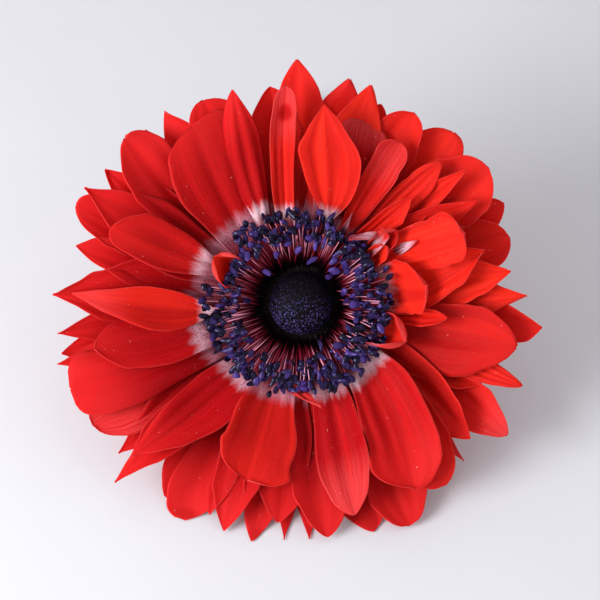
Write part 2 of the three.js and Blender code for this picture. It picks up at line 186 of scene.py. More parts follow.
def tube_faces(rings, sides):
    """The skin between rings of points, and a cap over each end."""
    skin = grid_faces(rings, sides, wrap=True)[:, ::-1]
    first = np.arange(sides)[None, :]
    last = (rings - 1) * sides + np.arange(sides)[None, ::-1]
    return skin, np.concatenate([first, last])


def repeat_faces(faces, size, count):
    """The same faces for count copies whose points follow one another, size points each."""
    steps = np.arange(count)[:, None, None] * size
    return (faces[None] + steps).reshape(-1, faces.shape[1])


print("faces of a blade of 4 by 3 points:", len(blade_faces(4, 3)))

# %% [markdown]
# Shapes need directions as well as places. The surfaces below are worked out round the bloom's axis,
# so most of them start from the two level directions at a bearing: away from the axis, and across.

# %% Directions
UP = np.array([0, 0, 1.0])


def unit(vectors):
    """Vectors of length one."""
    return vectors / np.linalg.norm(vectors, axis=-1, keepdims=True)


def directions(bearing):
    """Outward (cosine, sine, 0) and sideways (minus sine, cosine, 0) at each bearing in radians."""
    cos, sin, level = np.cos(bearing), np.sin(bearing), np.zeros_like(bearing)
    return np.stack([cos, sin, level], axis=-1), np.stack([-sin, cos, level], axis=-1)


print("outward and sideways at 90 degrees:", *(way.round(1) for way in directions(np.pi / 2)))

# %% [markdown]
# Materials are node trees, and most of them only mix colours by noise and by a number that the mesh
# carries. Building such a tree node by node takes many lines, so a small wrapper keeps it short: each
# call adds one node, fills its inputs and returns its output, ready to go into the next call.

# %% A short way to write node trees


class Finish:
    """A material whose nodes are added one call at a time, ending in its own shader."""

    def __init__(self, name):
        self.material = bpy.data.materials.new(name)
        self.material.use_nodes = True
        self.tree = self.material.node_tree
        self.shader = self.tree.nodes["Principled BSDF"]

    def feed(self, socket, value):
        """Link an output to a socket, or set the socket's own value."""
        if isinstance(value, bpy.types.NodeSocket):
            self.tree.links.new(value, socket)
        else:
            socket.default_value = value

    def node(self, kind, output, inputs, **settings):
        """Add a node, make its settings, fill its inputs by name or number, return one output."""
        node = self.tree.nodes.new("ShaderNode" + kind)
        for name, value in settings.items():
            setattr(node, name, value)
        for name, value in inputs.items():
            self.feed(node.inputs[name], value)
        return node.outputs[output]

    def set(self, **values):
        """Set the shader's sockets by their names, with _ for a space."""
        for name, value in values.items():
            self.feed(self.shader.inputs[name.replace("_", " ")], value)

    def mark(self, name):
        """A number stored on the mesh."""
        return self.node("Attribute", "Fac", {}, attribute_name=name)

    def place(self, source="Object", scale=(1, 1, 1)):
        """Object or UV coordinates, stretched by a scale for each axis."""
        coordinates = self.node("TexCoord", source, {})
        return self.node("Mapping", "Vector", {"Vector": coordinates, "Scale": scale})

    def noise(self, vector, scale=1.0, detail=3.0, roughness=0.5):
        """Soft noise from 0 to 1."""
        inputs = {"Vector": vector, "Scale": scale, "Detail": detail, "Roughness": roughness}
        return self.node("TexNoise", "Fac", inputs)

    def math(self, operation, a, b=0.0, c=0.0, clamp=False):
        """One step of arithmetic, whose three inputs all bear the same name and go by number."""
        return self.node("Math", 0, {0: a, 1: b, 2: c}, operation=operation, use_clamp=clamp)

    def span(self, value, low, high, to_low=0.0, to_high=1.0):
        """Map a range smoothly to another and keep within it."""
        inputs = {
            "Value": value, "From Min": low, "From Max": high, "To Min": to_low, "To Max": to_high,
        }
        return self.node("MapRange", "Result", inputs, interpolation_type="SMOOTHSTEP")

    def mix(self, share, a, b):
        """Mix two colours: a Mix node keeps them in inputs 6 and 7, and the result in output 2."""
        return self.node("Mix", 2, {0: share, 6: a, 7: b}, data_type="RGBA")

    def bump(self, height, distance, strength=1.0, **normal):
        """Raise the surface by a height in metres, on top of an earlier bump given as Normal."""
        inputs = {"Height": height, "Distance": distance, "Strength": strength, **normal}
        return self.node("Bump", "Normal", inputs)


print("calls that add nodes:", [name for name in vars(Finish) if name[0] != "_"])

# %% [markdown]
# Colours are easiest to choose as a screen shows them, from 0 to 255, but a shader counts light, so
# its numbers are linear. The curve between the two is a power of 2.4 with a short straight foot.

# %% Colours


def rgb(red, green, blue):
    """A screen's colour made linear: ((value + 0.055) / 1.055) to the power 2.4, or value / 12.92."""
    screen = np.array([red, green, blue]) / 255
    linear = np.where(screen > 0.04045, ((screen + 0.055) / 1.055) ** 2.4, screen / 12.92)
    return (*linear.tolist(), 1.0)


print("scarlet for the shader:", np.round(rgb(180, 9, 18), 3))

# %% [markdown]
# A petal of this flower is velvety scarlet, with fine veins that fan out from its claw. Its back is
# pinker and its outer end lighter, and a painted glow stands for light shining through it. A painted
# picture could give all of this, but noise stretched along the blade's own UV map does it as well,
# and never shows its pixels.

# %% The red of a petal
SCARLET = rgb(180, 9, 18)
DEEP_RED = rgb(152, 3, 11)
BLOTCH_RED = rgb(140, 2, 10)
OUTER_RED = rgb(228, 40, 40)
GRAIN_RED = rgb(214, 24, 26)
SHADE_RED = rgb(112, 0, 5)
GLOW_RED = rgb(238, 42, 26)
DULL_PINK = rgb(196, 30, 34)
PINK = rgb(224, 84, 86)
POLLEN = rgb(250, 170, 160)


def petal_red(finish, reach, vein, grain):
    """Two reds by vein, then reds by noise and by marks, painted shade and painted glow among them."""
    blotches = finish.noise(finish.place("UV", (5, 0.9, 1)), detail=3)
    red = finish.mix(vein, DEEP_RED, SCARLET)
    red = finish.mix(finish.span(blotches, 0.35, 0.75, 0, 0.8), red, BLOTCH_RED)
    red = finish.mix(finish.span(reach, 24, 39, 0, 0.65), red, OUTER_RED)
    red = finish.mix(finish.span(grain, 0.35, 0.7, 0, 0.4), red, GRAIN_RED)
    # Painted shade: darker red on back ranks where they lie covered, and in hollows.
    red = finish.mix(finish.mark("shade"), red, SHADE_RED)
    # Painted glow: a lighter orange-red where light would shine through the petal.
    glow = finish.math("MULTIPLY", finish.mark("glow"), finish.span(blotches, 0.3, 0.7, 1.3, 0.5))
    red = finish.mix(glow, red, GLOW_RED)
    pink = finish.mix(vein, DULL_PINK, PINK)
    red = finish.mix(finish.math("MULTIPLY", finish.mark("back"), 0.6), red, pink)
    red = finish.mix(finish.mark("blush"), red, pink)
    pollen = finish.noise(finish.place(), scale=2400, detail=0)
    return finish.mix(finish.span(pollen, 0.84, 0.88, 0, 0.35), red, POLLEN)


print("scarlet sends back", round(SCARLET[0] / DEEP_RED[0], 2), "times the light of deep red")

# %% [markdown]
# The claw of a petal is near black, and between it and the red lies a pale ring, streaked along the
# veins and freckled with violet. The ring ends at a distance from the flower's axis that each petal
# carries as a mark. Two noises along the blade are added to the distance, so the border is ragged.

# %% The foot of a petal
CLAW_ROOT = rgb(22, 0, 5)
CLAW_END = rgb(120, 8, 24)
RING_DARK = rgb(128, 50, 64)
RING_LIGHT = rgb(172, 90, 108)
RING_EDGE = rgb(232, 132, 160)
RING_WHITE = rgb(250, 214, 226)
FRECKLE = rgb(70, 18, 48)


def petal_foot(finish, reach, veins, vein):
    """The colour of claw and ring, and the ragged distance past the ring, in millimetres."""
    fringe = finish.noise(finish.place("UV", (7, 3, 1)), detail=2)
    ragged = finish.math("MULTIPLY_ADD", finish.math("SUBTRACT", veins, 0.5), 0.8, reach)
    ragged = finish.math("MULTIPLY_ADD", finish.math("SUBTRACT", fringe, 0.5), 3.4, ragged)
    past_ring = finish.math("SUBTRACT", ragged, finish.mark("eye"))
    pale = finish.mix(vein, RING_DARK, RING_LIGHT)
    pale = finish.mix(finish.span(past_ring, -2.4, -0.3, 0, 0.3), pale, RING_EDGE)
    white = finish.math("MULTIPLY", finish.mark("pale"), finish.span(past_ring, -2.6, -0.2, 0.1, 1))
    pale = finish.mix(white, pale, RING_WHITE)
    freckles = finish.noise(finish.place("UV", (26, 110, 1)), detail=1)
    pale = finish.mix(finish.span(freckles, 0.6, 0.64, 0, 0.6), pale, FRECKLE)
    claw = finish.mix(finish.span(reach, 8.0, 13.0), CLAW_ROOT, CLAW_END)
    return finish.mix(finish.span(ragged, 12.0, 15.5), claw, pale), past_ring


print("pale ring for the shader:", np.round(RING_LIGHT[:3], 3))

# %% [markdown]
# One material wears both, so that every petal passes from its foot to its red without a seam. The
# surface has no gloss to speak of: light sinks into a petal a little, which is subsurface scattering,
# and the veins, finer veins and grain stand up as three bumps, one laid over the other.

# %% Petal finish


def petal_finish():
    """Foot and red joined past the ring, a lighter rim along the border, and three bumps."""
    finish = Finish("petal")
    reach = finish.mark("reach")
    veins = finish.noise(finish.place("UV", (26, 1.3, 1)), detail=5, roughness=0.6)
    fine_veins = finish.noise(finish.place("UV", (110, 5, 1)), detail=2)
    grain = finish.noise(finish.place(), scale=5200, detail=2)
    vein = finish.span(veins, 0.35, 0.65)
    foot, past_ring = petal_foot(finish, reach, veins, vein)
    red = petal_red(finish, reach, vein, grain)
    colour = finish.mix(finish.span(past_ring, -1.0, 1.4), foot, red)
    rim = finish.span(finish.mark("border"), 0.95, 1.0, 0.0, 0.14)
    ridges = finish.bump(veins, 0.00014, 0.4)
    ridges = finish.bump(fine_veins, 0.00007, 0.5, Normal=ridges)
    finish.set(
        Base_Color=finish.mix(rim, colour, rgb(232, 84, 80)),
        Normal=finish.bump(grain, 0.00003, 0.3, Normal=ridges),
        Roughness=0.6,
        Specular_IOR_Level=0.07,
        Subsurface_Weight=0.3,
        Subsurface_Radius=(1.0, 0.04, 0.03),
        Subsurface_Scale=0.0014,
    )
    return finish.material


petal_material = petal_finish()
print("petal finish:", len(petal_material.node_tree.nodes), "nodes")

# %% [markdown]
# The petals are the flower's character, so each one that shows in the photograph has its own line,
# rank by rank, with bearings anticlockwise from the right. Another way would be one petal copied
# round, but no two petals of a real bloom are alike. The two ranks at the back show mostly tips.

# %% Petals of the back
# A tip's form: where the petal is widest, how square its end is, and how blunt.
POINTED = (0.6, 1.5, 0.95)
OGIVE = (0.64, 1.8, 0.75)
ROUNDED = (0.68, 2.3, 0.6)
SQUARE = (0.78, 2.6, 0.45)
KITE = (0.74, 1.3, 0.82)
CURLED = (0.96, 5.0, 0.3)
BROAD = (0.88, 3.4, 0.38)


def petal(rank, start, end, reach, width, lift, tip, **shape):
    """Rank from the back, bearings of root and tip, reach, width, lift of the tip, and its form."""
    return rank, start, end, reach, width, lift, tip, shape


BACK_PETALS = [
    petal(0, 100, 98, 35.8, 9.5, 4.8, ROUNDED),
    petal(0, 127, 125.6, 38.4, 9.8, 4.2, OGIVE),
    petal(0, 149, 146, 38.8, 8.5, 4.6, OGIVE),
    petal(0, 192, 192.3, 40.4, 7.5, 4.8, OGIVE),
    petal(0, 219, 219.5, 38.8, 9, 4.8, POINTED),
    petal(0, 233, 235, 39.2, 8, 2.2, ROUNDED),
    petal(0, 265, 266, 38.5, 6.5, 5, POINTED),
    petal(0, 319, 316, 37, 6, 5.4, POINTED, left=0.9, blush=0.5),
    petal(0, 337, 336, 32.5, 8, 4, ROUNDED),
    petal(0, 357, 354.2, 39.7, 10.5, 5.2, OGIVE, skew=1.4),
    petal(0, 25, 26, 36.8, 10.5, 5.2, ROUNDED),
    petal(0, 48, 48.5, 37.2, 10.5, 5.4, SQUARE, skew=1.2),
    petal(0, 68, 68, 34.8, 8.5, 4.8, ROUNDED),
    petal(1, 117, 115.5, 36.8, 10.5, 5.6, SQUARE, skew=-0.8),
    petal(1, 134, 132, 38.4, 9, 4.4, POINTED),
    petal(1, 160, 156.5, 40.3, 8, 6, SQUARE, skew=0.9),
    petal(1, 184, 187, 40.4, 8, 6, POINTED),
    petal(1, 212, 210.5, 39.6, 9.5, 6.2, SQUARE, hook=0.8, skew=0.6, blush=0.45),
    petal(1, 243, 241.5, 40.5, 10, 3.4, SQUARE, skew=2.4),
    petal(1, 258, 258.4, 39.8, 8.5, 5.8, OGIVE),
    petal(1, 273, 272, 38.6, 7, 5.6, POINTED),
    petal(1, 286, 287.5, 39.6, 9.5, 3.8, ROUNDED),
    petal(1, 307, 306.5, 37.2, 9, 3.8, POINTED),
    petal(1, 334, 327.5, 40.2, 8.4, 6, ROUNDED, left=0.6, right=0.6, blush=0.8, blush_from=0.84),
    petal(1, 347, 346, 35, 8.5, 5, ROUNDED),
    petal(1, 17, 17.5, 35.6, 9.5, 5.8, SQUARE),
    petal(1, 60, 59.5, 36, 9.5, 6.2, SQUARE, skew=0.6),
    petal(1, 81, 77.8, 37.7, 9.5, 5.8, OGIVE),
    petal(1, 46, 45, 32.2, 5.2, 10.4, ROUNDED, hook=1.5, glow=0.5),
]
print(len(BACK_PETALS), "petals at the back")

# %% [markdown]
# The rank in the middle fills the gaps between those in front. What sets a petal apart comes last in
# its line: left and right say how much each half curls up, in radians, lean how far the blade is
# turned about its midrib, in degrees, and skew how far its tip slants. Glow is how much painted glow
# stands for light shining through, from 0 to 1, and eye is how far from the axis the pale ring ends.

# %% Petals of the middle
MIDDLE_PETALS = [
    petal(2, 88, 91, 39.8, 10.5, 6.8, OGIVE),
    petal(2, 148, 136.5, 39.2, 10.5, 7.2, SQUARE, glow=0),
    petal(2, 167, 165.5, 37.8, 8.5, 6.6, OGIVE),
    petal(2, 198, 194, 41.2, 8, 6.6, POINTED),
    petal(2, 227, 223.5, 42, 7.8, 7.4, POINTED),
    petal(2, 248, 246.5, 37.8, 5, 5.4, ROUNDED, lean=25),
    petal(2, 264, 264, 36, 8.5, 6.6, ROUNDED),
    petal(2, 298, 296, 40.9, 10.5, 4.8, SQUARE),
    petal(2, 330, 321.5, 35.6, 9.5, 6.8, OGIVE, glow=0.35),
    petal(2, 341, 339.3, 38.4, 4.4, 6.8, ROUNDED),
    petal(2, 2, 1.8, 36.6, 8.6, 7.4, POINTED, glow=0.85),
    petal(2, 35, 35.5, 37.7, 12, 7.2, SQUARE),
    petal(2, 72, 72, 37.1, 9.5, 7, OGIVE, glow=0.75),
]
print(len(MIDDLE_PETALS), "petals in the middle")

# %% [markdown]
# The petals in front show whole, so they need most words: a claw narrower or broader than most, a
# hook that turns the tip down, a bow of the midrib, a fold along it, a hollow near the tip. Late says
# how late the blade rises. Shade darkens it with painted shade, pale whitens its ring, and blush shows
# its pink side.

# %% Petals of the front
FRONT_PETALS = [
    petal(3, 158, 152, 40.2, 10.5, 8, POINTED, glow=0, shade=0.25),
    petal(3, 175, 178, 40.6, 11.5, 8, POINTED, left=-0.3),
    petal(3, 248, 251.2, 39.2, 9, 6.8, OGIVE),
    petal(3, 273, 276.5, 38.3, 10, 8, ROUNDED, eye=15.7),
    petal(3, 319, 308.5, 37.6, 9.5, 8.2, SQUARE, glow=0.3),
    petal(3, 343, 348.6, 35.4, 12, 8.5, ROUNDED, right=-0.3, skew=-0.7, glow=0.25, shade=0.4, fold=0.3,
          eye=15),
    petal(3, 8, 8.5, 34.2, 8.5, 9, OGIVE, glow=0.95, eye=15),
    petal(3, 133, 121.5, 33.6, 13.4, 7.2, BROAD, right=-0.25, lean=5, skew=0.8),
    petal(3, 207, 200.6, 39.8, 10.2, 8, BROAD, claw=0.42, right=-0.35, skew=-0.7, shade=0.3),
    petal(3, 232, 222.2, 37, 9.5, 8.6, POINTED, left=0.5, fold=0.45, pale=0.35, eye=17),
    petal(3, 58, 58.5, 30.6, 6, 10.5, BROAD, claw=0.28, left=0.9, right=0.7, hook=2, blush=0.4,
          shade=0.3, eye=14),
    petal(3, 63, 70, 31.8, 7.6, 9.4, BROAD, claw=0.3, hook=3.4, blush=0.6, blush_from=0.8, shade=0.8,
          glow=0, eye=15),
    petal(3, 41, 38.6, 34.7, 5.5, 9.8, POINTED, glow=0.6, eye=13),
    petal(4, 102, 94, 35.2, 4.8, 8.6, BROAD, left=0.9, right=0.9, hook=-2.4, hollow=1, claw=0.7,
          skew=0.3, glow=0.5, pale=1, blush=0.7, eye=15.8),
    petal(4, 118, 108, 36.6, 7.6, 9.4, OGIVE, claw=0.1, left=-1.6, right=-0.7, skew=-1.6, glow=0.05,
          pale=0.9),
    petal(4, 158, 157.2, 33, 8, 9.2, SQUARE, claw=0, skew=-1.8, pale=0.5, glow=0.2),
    petal(4, 196, 192.5, 34.4, 9.5, 8.8, ROUNDED, right=-0.4, lean=3, pale=0.4),
    petal(4, 253, 253, 30, 12.3, 8.8, BROAD, claw=0.42, skew=-0.9, pale=0.15, glow=0.35, eye=16.4),
    petal(4, 290, 284, 35.2, 9.4, 9, ROUNDED, claw=0.4, left=0.6, fold=0.3, blush=0.55, pale=0.4,
          eye=16),
    petal(4, 73, 83.5, 31.8, 11, 12, KITE, claw=-0.3, bow=-1.3, lean=-8, skew=1.6, glow=0.7, pale=1,
          eye=15.8),
    petal(4, 46, 43.5, 24.2, 4.4, 9.5, ROUNDED, left=0.8, right=0.8, glow=0.6, eye=13),
    petal(4, 37, 30, 33.4, 7, 10.6, POINTED, left=0.8, glow=0.45, eye=13),
    petal(4, 0, 16, 30.2, 8.8, 11.8, OGIVE, glow=0.9, eye=13),
    petal(5, 186, 177.5, 37.2, 7.8, 9.8, POINTED, claw=-0.25, bow=0.4, left=0.5, right=1, lean=4,
          hook=1, glow=0.5, blush=0.45, blush_from=0.7, pale=0.9, eye=16.4),
    petal(5, 320, 301.5, 35.3, 12, 9.8, SQUARE, right=0.3, left=0.2, fold=0.5, lean=-6, skew=-2.6,
          pale=0.75, eye=16.3),
    petal(5, 28, 23.2, 28.3, 8.6, 13.4, BROAD, left=-0.3, right=-0.3, glow=0.85, eye=13),
    petal(5.6, 13, 9, 21.4, 9.2, 9.4, BROAD, late=2, ruffle=-0.35, glow=0.65, pale=0.3, eye=15),
    petal(5, 351, 354.5, 24.3, 3.2, 8.8, ROUNDED, glow=0.5, eye=14),
]
print(len(FRONT_PETALS), "petals in front")

# %% [markdown]
# In a half-double bloom some stamens have turned into small petals. They stand round the ring, mostly
# curled like a spoon, and the same words describe them: they are short, rise late and curl strongly.

# %% Petal-like stamens
PETALOIDS = [
    petal(5.6, 151, 152, 15.8, 8.8, 8.2, CURLED, left=1.8, right=1.8, late=2.6, glow=1),
    petal(5.6, 340, 340, 17.2, 10, 8.4, CURLED, left=1.7, right=1.7, late=4, glow=0.7, eye=14,
          inside=2.2),
    petal(5.6, 232, 281, 17.6, 3.4, 8.6, POINTED, left=0.5, right=0.5, late=2, glow=0.5, blush=0.5,
          blush_from=0.3),
    petal(5.6, 58, 60, 15.9, 1.8, 8.8, POINTED, late=3, pale=0.4, eye=19),
    petal(5.6, 42, 43, 17.2, 5.6, 9.6, CURLED, left=0.7, right=1.2, late=3.2, ruffle=0.8, skew=1.5,
          pale=0.4, eye=16.6),
    petal(5.8, 36, 37, 18.4, 5, 9.6, CURLED, left=1.8, right=1.6, late=3.4, glow=0.2, pale=0.5),
    petal(5.8, 31, 33, 16.2, 4.4, 8.6, CURLED, left=1.3, right=1.3, late=3, glow=1, pale=0.8),
    petal(5.4, 29, 28.5, 20, 2.2, 9.8, ROUNDED, late=3, blush=1, pale=0.6, eye=20.5),
]
PETALS = BACK_PETALS + MIDDLE_PETALS + FRONT_PETALS
print(len(PETALS), "petals and", len(PETALOIDS), "petal-like stamens")

# %% [markdown]
# The blade is a surface of two numbers: s runs from the root (0) to the tip (1) and t from the right
# border (-1) to the left (1). It could be sculpted from a flat sheet, but a formula makes a petal of
# every line above. Its midrib gives distance and height, and its outline gives the width.

# %% Outline and midrib
PETAL_ROOT = 7.4
PETAL_ROOT_HEIGHT = -3.9
RANK_STEP = 0.85
CLAW = 0.5
NARROWEST = 0.035
HOOK_FROM = 0.65


def petal_outline(s, width, tip, claw):
    """Half the width: a narrow claw that swells smoothly, then closes as a rounded power curve."""
    widest, square, blunt = tip
    swell = np.clip(s / widest, 0, 1)
    swell = swell**3 * (swell * (6 * swell - 15) + 10)
    close = np.clip((s - widest) / (1 - widest), 0, 1)
    end = (1 - close**square) ** blunt
    return width / 2 * np.maximum(NARROWEST, (claw + (1 - claw) * swell) * end)


def petal_midrib(s, row):
    """Distance from the axis grows evenly, height rises late, and a hook turns the end down."""
    rank, _, _, reach, _, lift, _, shape = row
    root_height = PETAL_ROOT_HEIGHT + RANK_STEP * rank
    bend = np.maximum(0, s - HOOK_FROM) / (1 - HOOK_FROM)
    rise = np.maximum(0, s) ** shape.get("late", 1.25)
    height = root_height + (lift - root_height) * rise - shape.get("hook", 0) * bend**2
    return PETAL_ROOT + (reach - PETAL_ROOT) * s, height


fifths = np.linspace(0, 1, 6)
print("half width of a petal, by fifths:", petal_outline(fifths, 10, OGIVE, CLAW).round(1))

# %% [markdown]
# A smooth blade looks pressed from metal. Real petals are pleated, ruffle at their border and nod at
# their end. Cloth simulation could crumple them, but a few sine waves with drawn phases are enough,
# and a seeded draw gives the same petal each time the script runs.

# %% Waves of a petal


def petal_waves(draw, width, ruffle):
    """A ruffled border, pleats along the blade, a channel, and slow bends, with phases drawn."""
    phases = draw.uniform(0, 2 * np.pi, 7)
    narrow = min(1.0, width / 9)
    ruffle = ruffle + draw.uniform(0.25, 0.75) * narrow
    pleats = draw.integers(2, 5)
    pleat_depth = draw.uniform(0.12, 0.34)
    roll = draw.uniform(-0.5, 0.6) * narrow
    nod = draw.uniform(-1.4, 1.0)

    def waves(s, t):
        grow = np.clip(s * 1.6, 0, 1)
        blade = np.clip(s, 0, 1)
        border = np.where(
            t > 0,
            np.sin(8 * s + phases[0]) + 0.6 * np.sin(18 * s + phases[1]),
            np.sin(9 * s + phases[2]) + 0.6 * np.sin(20 * s + phases[3]),
        )
        border = ruffle * np.abs(t) ** 2.5 * border * blade**1.6
        pleat = pleat_depth * np.sin(pleats * np.pi * t + phases[4]) * np.sin(np.pi * blade)
        swell = 0.24 * np.sin(6 * s + phases[5]) + 0.1 * np.sin(13 * s + 2 * t + phases[6])
        channel = -0.4 * np.exp(-((t / 0.3) ** 2)) * np.clip(1 - s, 0, 1)
        bend = roll * t**2 * blade + nod * np.clip((s - 0.72) / 0.28, 0, 1) ** 2
        return grow * (border + pleat + swell + channel + bend)

    return waves


sample_waves = petal_waves(np.random.default_rng(1), 10, 0)(fifths, 0 * fifths)
print("waves along a midrib, millimetres:", sample_waves.round(2))

# %% [markdown]
# No petal has a quite even border. Each side strays in slow waves and small corners of its own, which
# scale the half width, so the border still closes at the tip. Torn edges would need more points, and
# from a step away these few corners do the same.

# %% Border of a petal


def petal_edge(draw):
    """How far each border strays from its smooth line: slow waves, corners, fine waves at the tip."""
    phases = draw.uniform(0, 2 * np.pi, 6)
    corners = draw.uniform(0.74, 0.97, 4)
    sizes = draw.uniform(-0.07, 0.1, 4)

    def edge(s, t):
        left = 0.045 * np.sin(7 * s + phases[0]) + 0.03 * np.sin(16 * s + phases[1])
        right = 0.045 * np.sin(8 * s + phases[2]) + 0.03 * np.sin(17 * s + phases[3])
        for corner, size, border in zip(corners, sizes, (left, left, right, right)):
            border += size * np.exp(-(((s - corner) / 0.035) ** 2))
        fine = 0.03 * np.sin(38 * s + phases[4]) * np.clip(4 * s - 2.8, 0, 1)
        return 1 + (np.where(t > 0, left, right) + fine) * np.abs(t)

    return edge


sample_edge = petal_edge(np.random.default_rng(1))(fifths, 1)
print("one border, as shares of its smooth line:", sample_edge.round(2))

# %% [markdown]
# Midrib, outline and waves come together here. Each half of the section is an arc, curled up or down
# by its own amount, and the whole section turns about the midrib. An arc keeps the petal's true width
# as it curls, which a parabola would stretch.

# %% The petal as a surface
STEP = 0.01
TIP_POINT = 0.35
FOLD = 0.1
HOLLOW_DEPTH = 0.3


def petal_hollow(s, t, shape):
    """An oval dent near a spoon-like tip: 1 inside it, falling steeply to 0 round it."""
    oval = ((s - 0.86) / 0.055) ** 2 + ((t + 0.1) / 0.6) ** 2
    return shape.get("hollow", 0) * np.exp(-(oval**3))


def petal_surface(row, s, t, waves, edge, tilt):
    """The midrib's point, moved along the section: an arc across each half, plus slow waves."""
    _, start, end, _, width, _, tip, shape = row
    distance, height = petal_midrib(s, row)
    next_distance, next_height = petal_midrib(s + STEP, row)
    slope = np.arctan2(next_height - height, next_distance - distance)
    outward, sideways = directions(np.radians(start + (end - start) * s))
    facing = -outward * np.sin(slope)[..., None]
    facing[..., 2] = np.cos(slope)

    half = petal_outline(s, width, tip, shape.get("claw", CLAW)) * edge(s, t)
    blade = np.clip(s, 0, 1)
    distance = distance + TIP_POINT * np.clip((s - 0.93) / 0.07, 0, 1) ** 2
    distance = distance - shape.get("skew", 0) * t * half / (width / 2) * blade**4
    left_cup, right_cup, lean = tilt
    cup = np.where(t > 0, shape.get("left", left_cup), shape.get("right", right_cup))
    across = half * np.sin(cup * t) / cup + shape.get("bow", 0) * np.sin(np.pi * blade)
    fold = np.where(t > 0, shape.get("fold", FOLD), FOLD)
    depth = half * (1 - np.cos(cup * t)) / cup + half * fold * np.abs(t) + waves(s, t)
    depth = depth - HOLLOW_DEPTH * petal_hollow(s, t, shape)
    turn = np.radians(shape.get("lean", lean) * np.clip(s * 1.5, 0, 1))
    middle = outward * distance[..., None]
    middle[..., 2] += height
    return (
        middle
        + sideways * (across * np.cos(turn) - depth * np.sin(turn))[..., None]
        + facing * (across * np.sin(turn) + depth * np.cos(turn))[..., None]
    )


still = petal_surface(PETALS[0], fifths, 0 * fifths, lambda s, t: 0, lambda s, t: 1, (0.3, 0.3, 0))
print("height along the first midrib, millimetres:", still[:, 2].round(1))

# %% [markdown]
# The lowest petals bear the flower. A petal is soft, so where it would sink into the table it is bent
# clear instead, along the bloom's axis, until it lies on it. A simulation would find nearly the same
# place, at the cost of time.

# %% Lying on the table


def keep_above_surface(points, clearance):
    """Move what would sink into the table out along the bloom's axis, until it rests on it."""
    tilt_sin, tilt_cos = np.sin(FACE_TILT), np.cos(FACE_TILT)
    height = BLOOM_HEIGHT + points[..., 1] * tilt_sin + points[..., 2] * tilt_cos
    points[..., 2] += np.maximum(0, clearance - height) / tilt_cos
    return points


sunk = keep_above_surface(np.array([[0, -40.0, 0]]), 0)
print("a point 40 mm below the middle is moved to z", sunk[0, 2].round(2))

# %% [markdown]
# The finish reads numbers from the mesh: how far each point lies from the axis, how near the border,
# and how this petal is coloured. Petals turned towards the light get a painted glow, those at the back
# a painted shade, and the pale ring is wider on one side of the flower than on the other.

# %% Numbers for the finish
EYE_RING = 16.4
EYE_DRIFT = 1.8
EYE_WIDE_AT = 180
EYE_OF_CURL = 12.6
CURL_RANK = 5.3
GLOW_AT = 30


def petal_marks(row, s, t, distance, draw):
    """Each mark for both faces of a petal: given in its line, or else by a rule with a draw."""
    rank, _, bearing, _, _, _, _, shape = row
    border = np.maximum(np.abs(t), np.clip((s - 0.9) * 10, 0, 1) ** 2 * 0.99)
    # Painted glow, most for petals near the bearing GLOW_AT, which face the lamp.
    lit = np.clip(0.1 + 0.62 * np.cos(np.radians(bearing - GLOW_AT)), 0, 1)
    glow = shape.get("glow", lit * draw.uniform(0.4, 1.0))
    # Painted shade on the back ranks, over the inner part that the petals in front cover.
    cover = 1 - np.clip((s - 0.45) / 0.4, 0, 1)
    shade = shape.get("shade", np.clip(0.5 - rank / 6, 0, 1)) * draw.uniform(0.5, 1.0) * cover
    ring = EYE_RING + EYE_DRIFT * np.cos(np.radians(bearing - EYE_WIDE_AT))
    eye = shape.get("eye", EYE_OF_CURL if rank > CURL_RANK else ring + draw.uniform(-0.7, 0.7))
    pale = shape.get("pale", 0.2 * draw.uniform(0.2, 1.0))
    blush = shape.get("blush", 0) * np.clip((s - shape.get("blush_from", 0.66)) / 0.2, 0, 1)
    hollow = petal_hollow(s, t, shape)
    both = np.ones((2, *s.shape))
    return {
        "reach": distance,
        "border": both * border,
        "back": np.stack([np.zeros_like(s), np.ones_like(s)]),
        # The hollow gets painted shade in place of painted glow and blush.
        "glow": both * glow * (1 - hollow),
        "shade": both * np.maximum(shade, 0.28 * hollow),
        "pale": both * pale,
        "blush": both * blush * (1 - hollow),
        "eye": both * eye,
    }


towards_light = np.cos(np.radians([row[2] - GLOW_AT for row in PETALS])) > 0.7
print(towards_light.sum(), "petals are turned towards the light")

# %% [markdown]
# One petal becomes a closed blade: the surface is moved half its thickness to each side, and it is
# thinner towards the border. The Solidify modifier could thicken a sheet too, but both faces would
# then carry the same marks, and the back of a petal has to be pinker than its front.

# %% One petal as a closed blade
ALONG = 52
ACROSS = 24
BEHIND_ROOT = 0.08
THICK_MIDDLE = 0.3
THICK_BORDER = 0.1
PETAL_CLEARANCE = 0.31
UV_STEP = 3  # far enough that no two petals lie on the same stretch of the noise
UV_LENGTH = 40


def petal_blade(row, number, draw):
    """Points, UV and marks of one petal, both faces of it, in the bloom's millimetres."""
    _, _, _, reach, width, _, _, shape = row
    along = 1 - (1 - np.linspace(0, 1, ALONG + 1)) ** 1.3
    along = along * (1 + BEHIND_ROOT) - BEHIND_ROOT
    s, t = np.meshgrid(along, np.linspace(-1, 1, ACROSS + 1), indexing="ij")
    tilt = (draw.uniform(0.06, 0.6), draw.uniform(0.06, 0.6), draw.uniform(-15, 15))
    waves = petal_waves(draw, width, shape.get("ruffle", 0))
    surface = petal_surface(row, s, t, waves, petal_edge(draw), tilt)
    surface = keep_above_surface(surface, PETAL_CLEARANCE)
    normal = unit(np.cross(np.gradient(surface, axis=0), np.gradient(surface, axis=1)))
    thick = THICK_BORDER + (THICK_MIDDLE - THICK_BORDER) * (1 - t**2) * (1 - np.clip(s, 0, 1) ** 6)
    offset = normal * (thick / 2)[..., None]
    points = np.stack([surface + offset, surface - offset])
    marks = petal_marks(row, s, t, np.hypot(points[..., 0], points[..., 1]), draw)
    uv = np.stack([t / 2 + UV_STEP * number, s * reach / UV_LENGTH], axis=-1)
    return points, np.stack([uv, uv]), marks


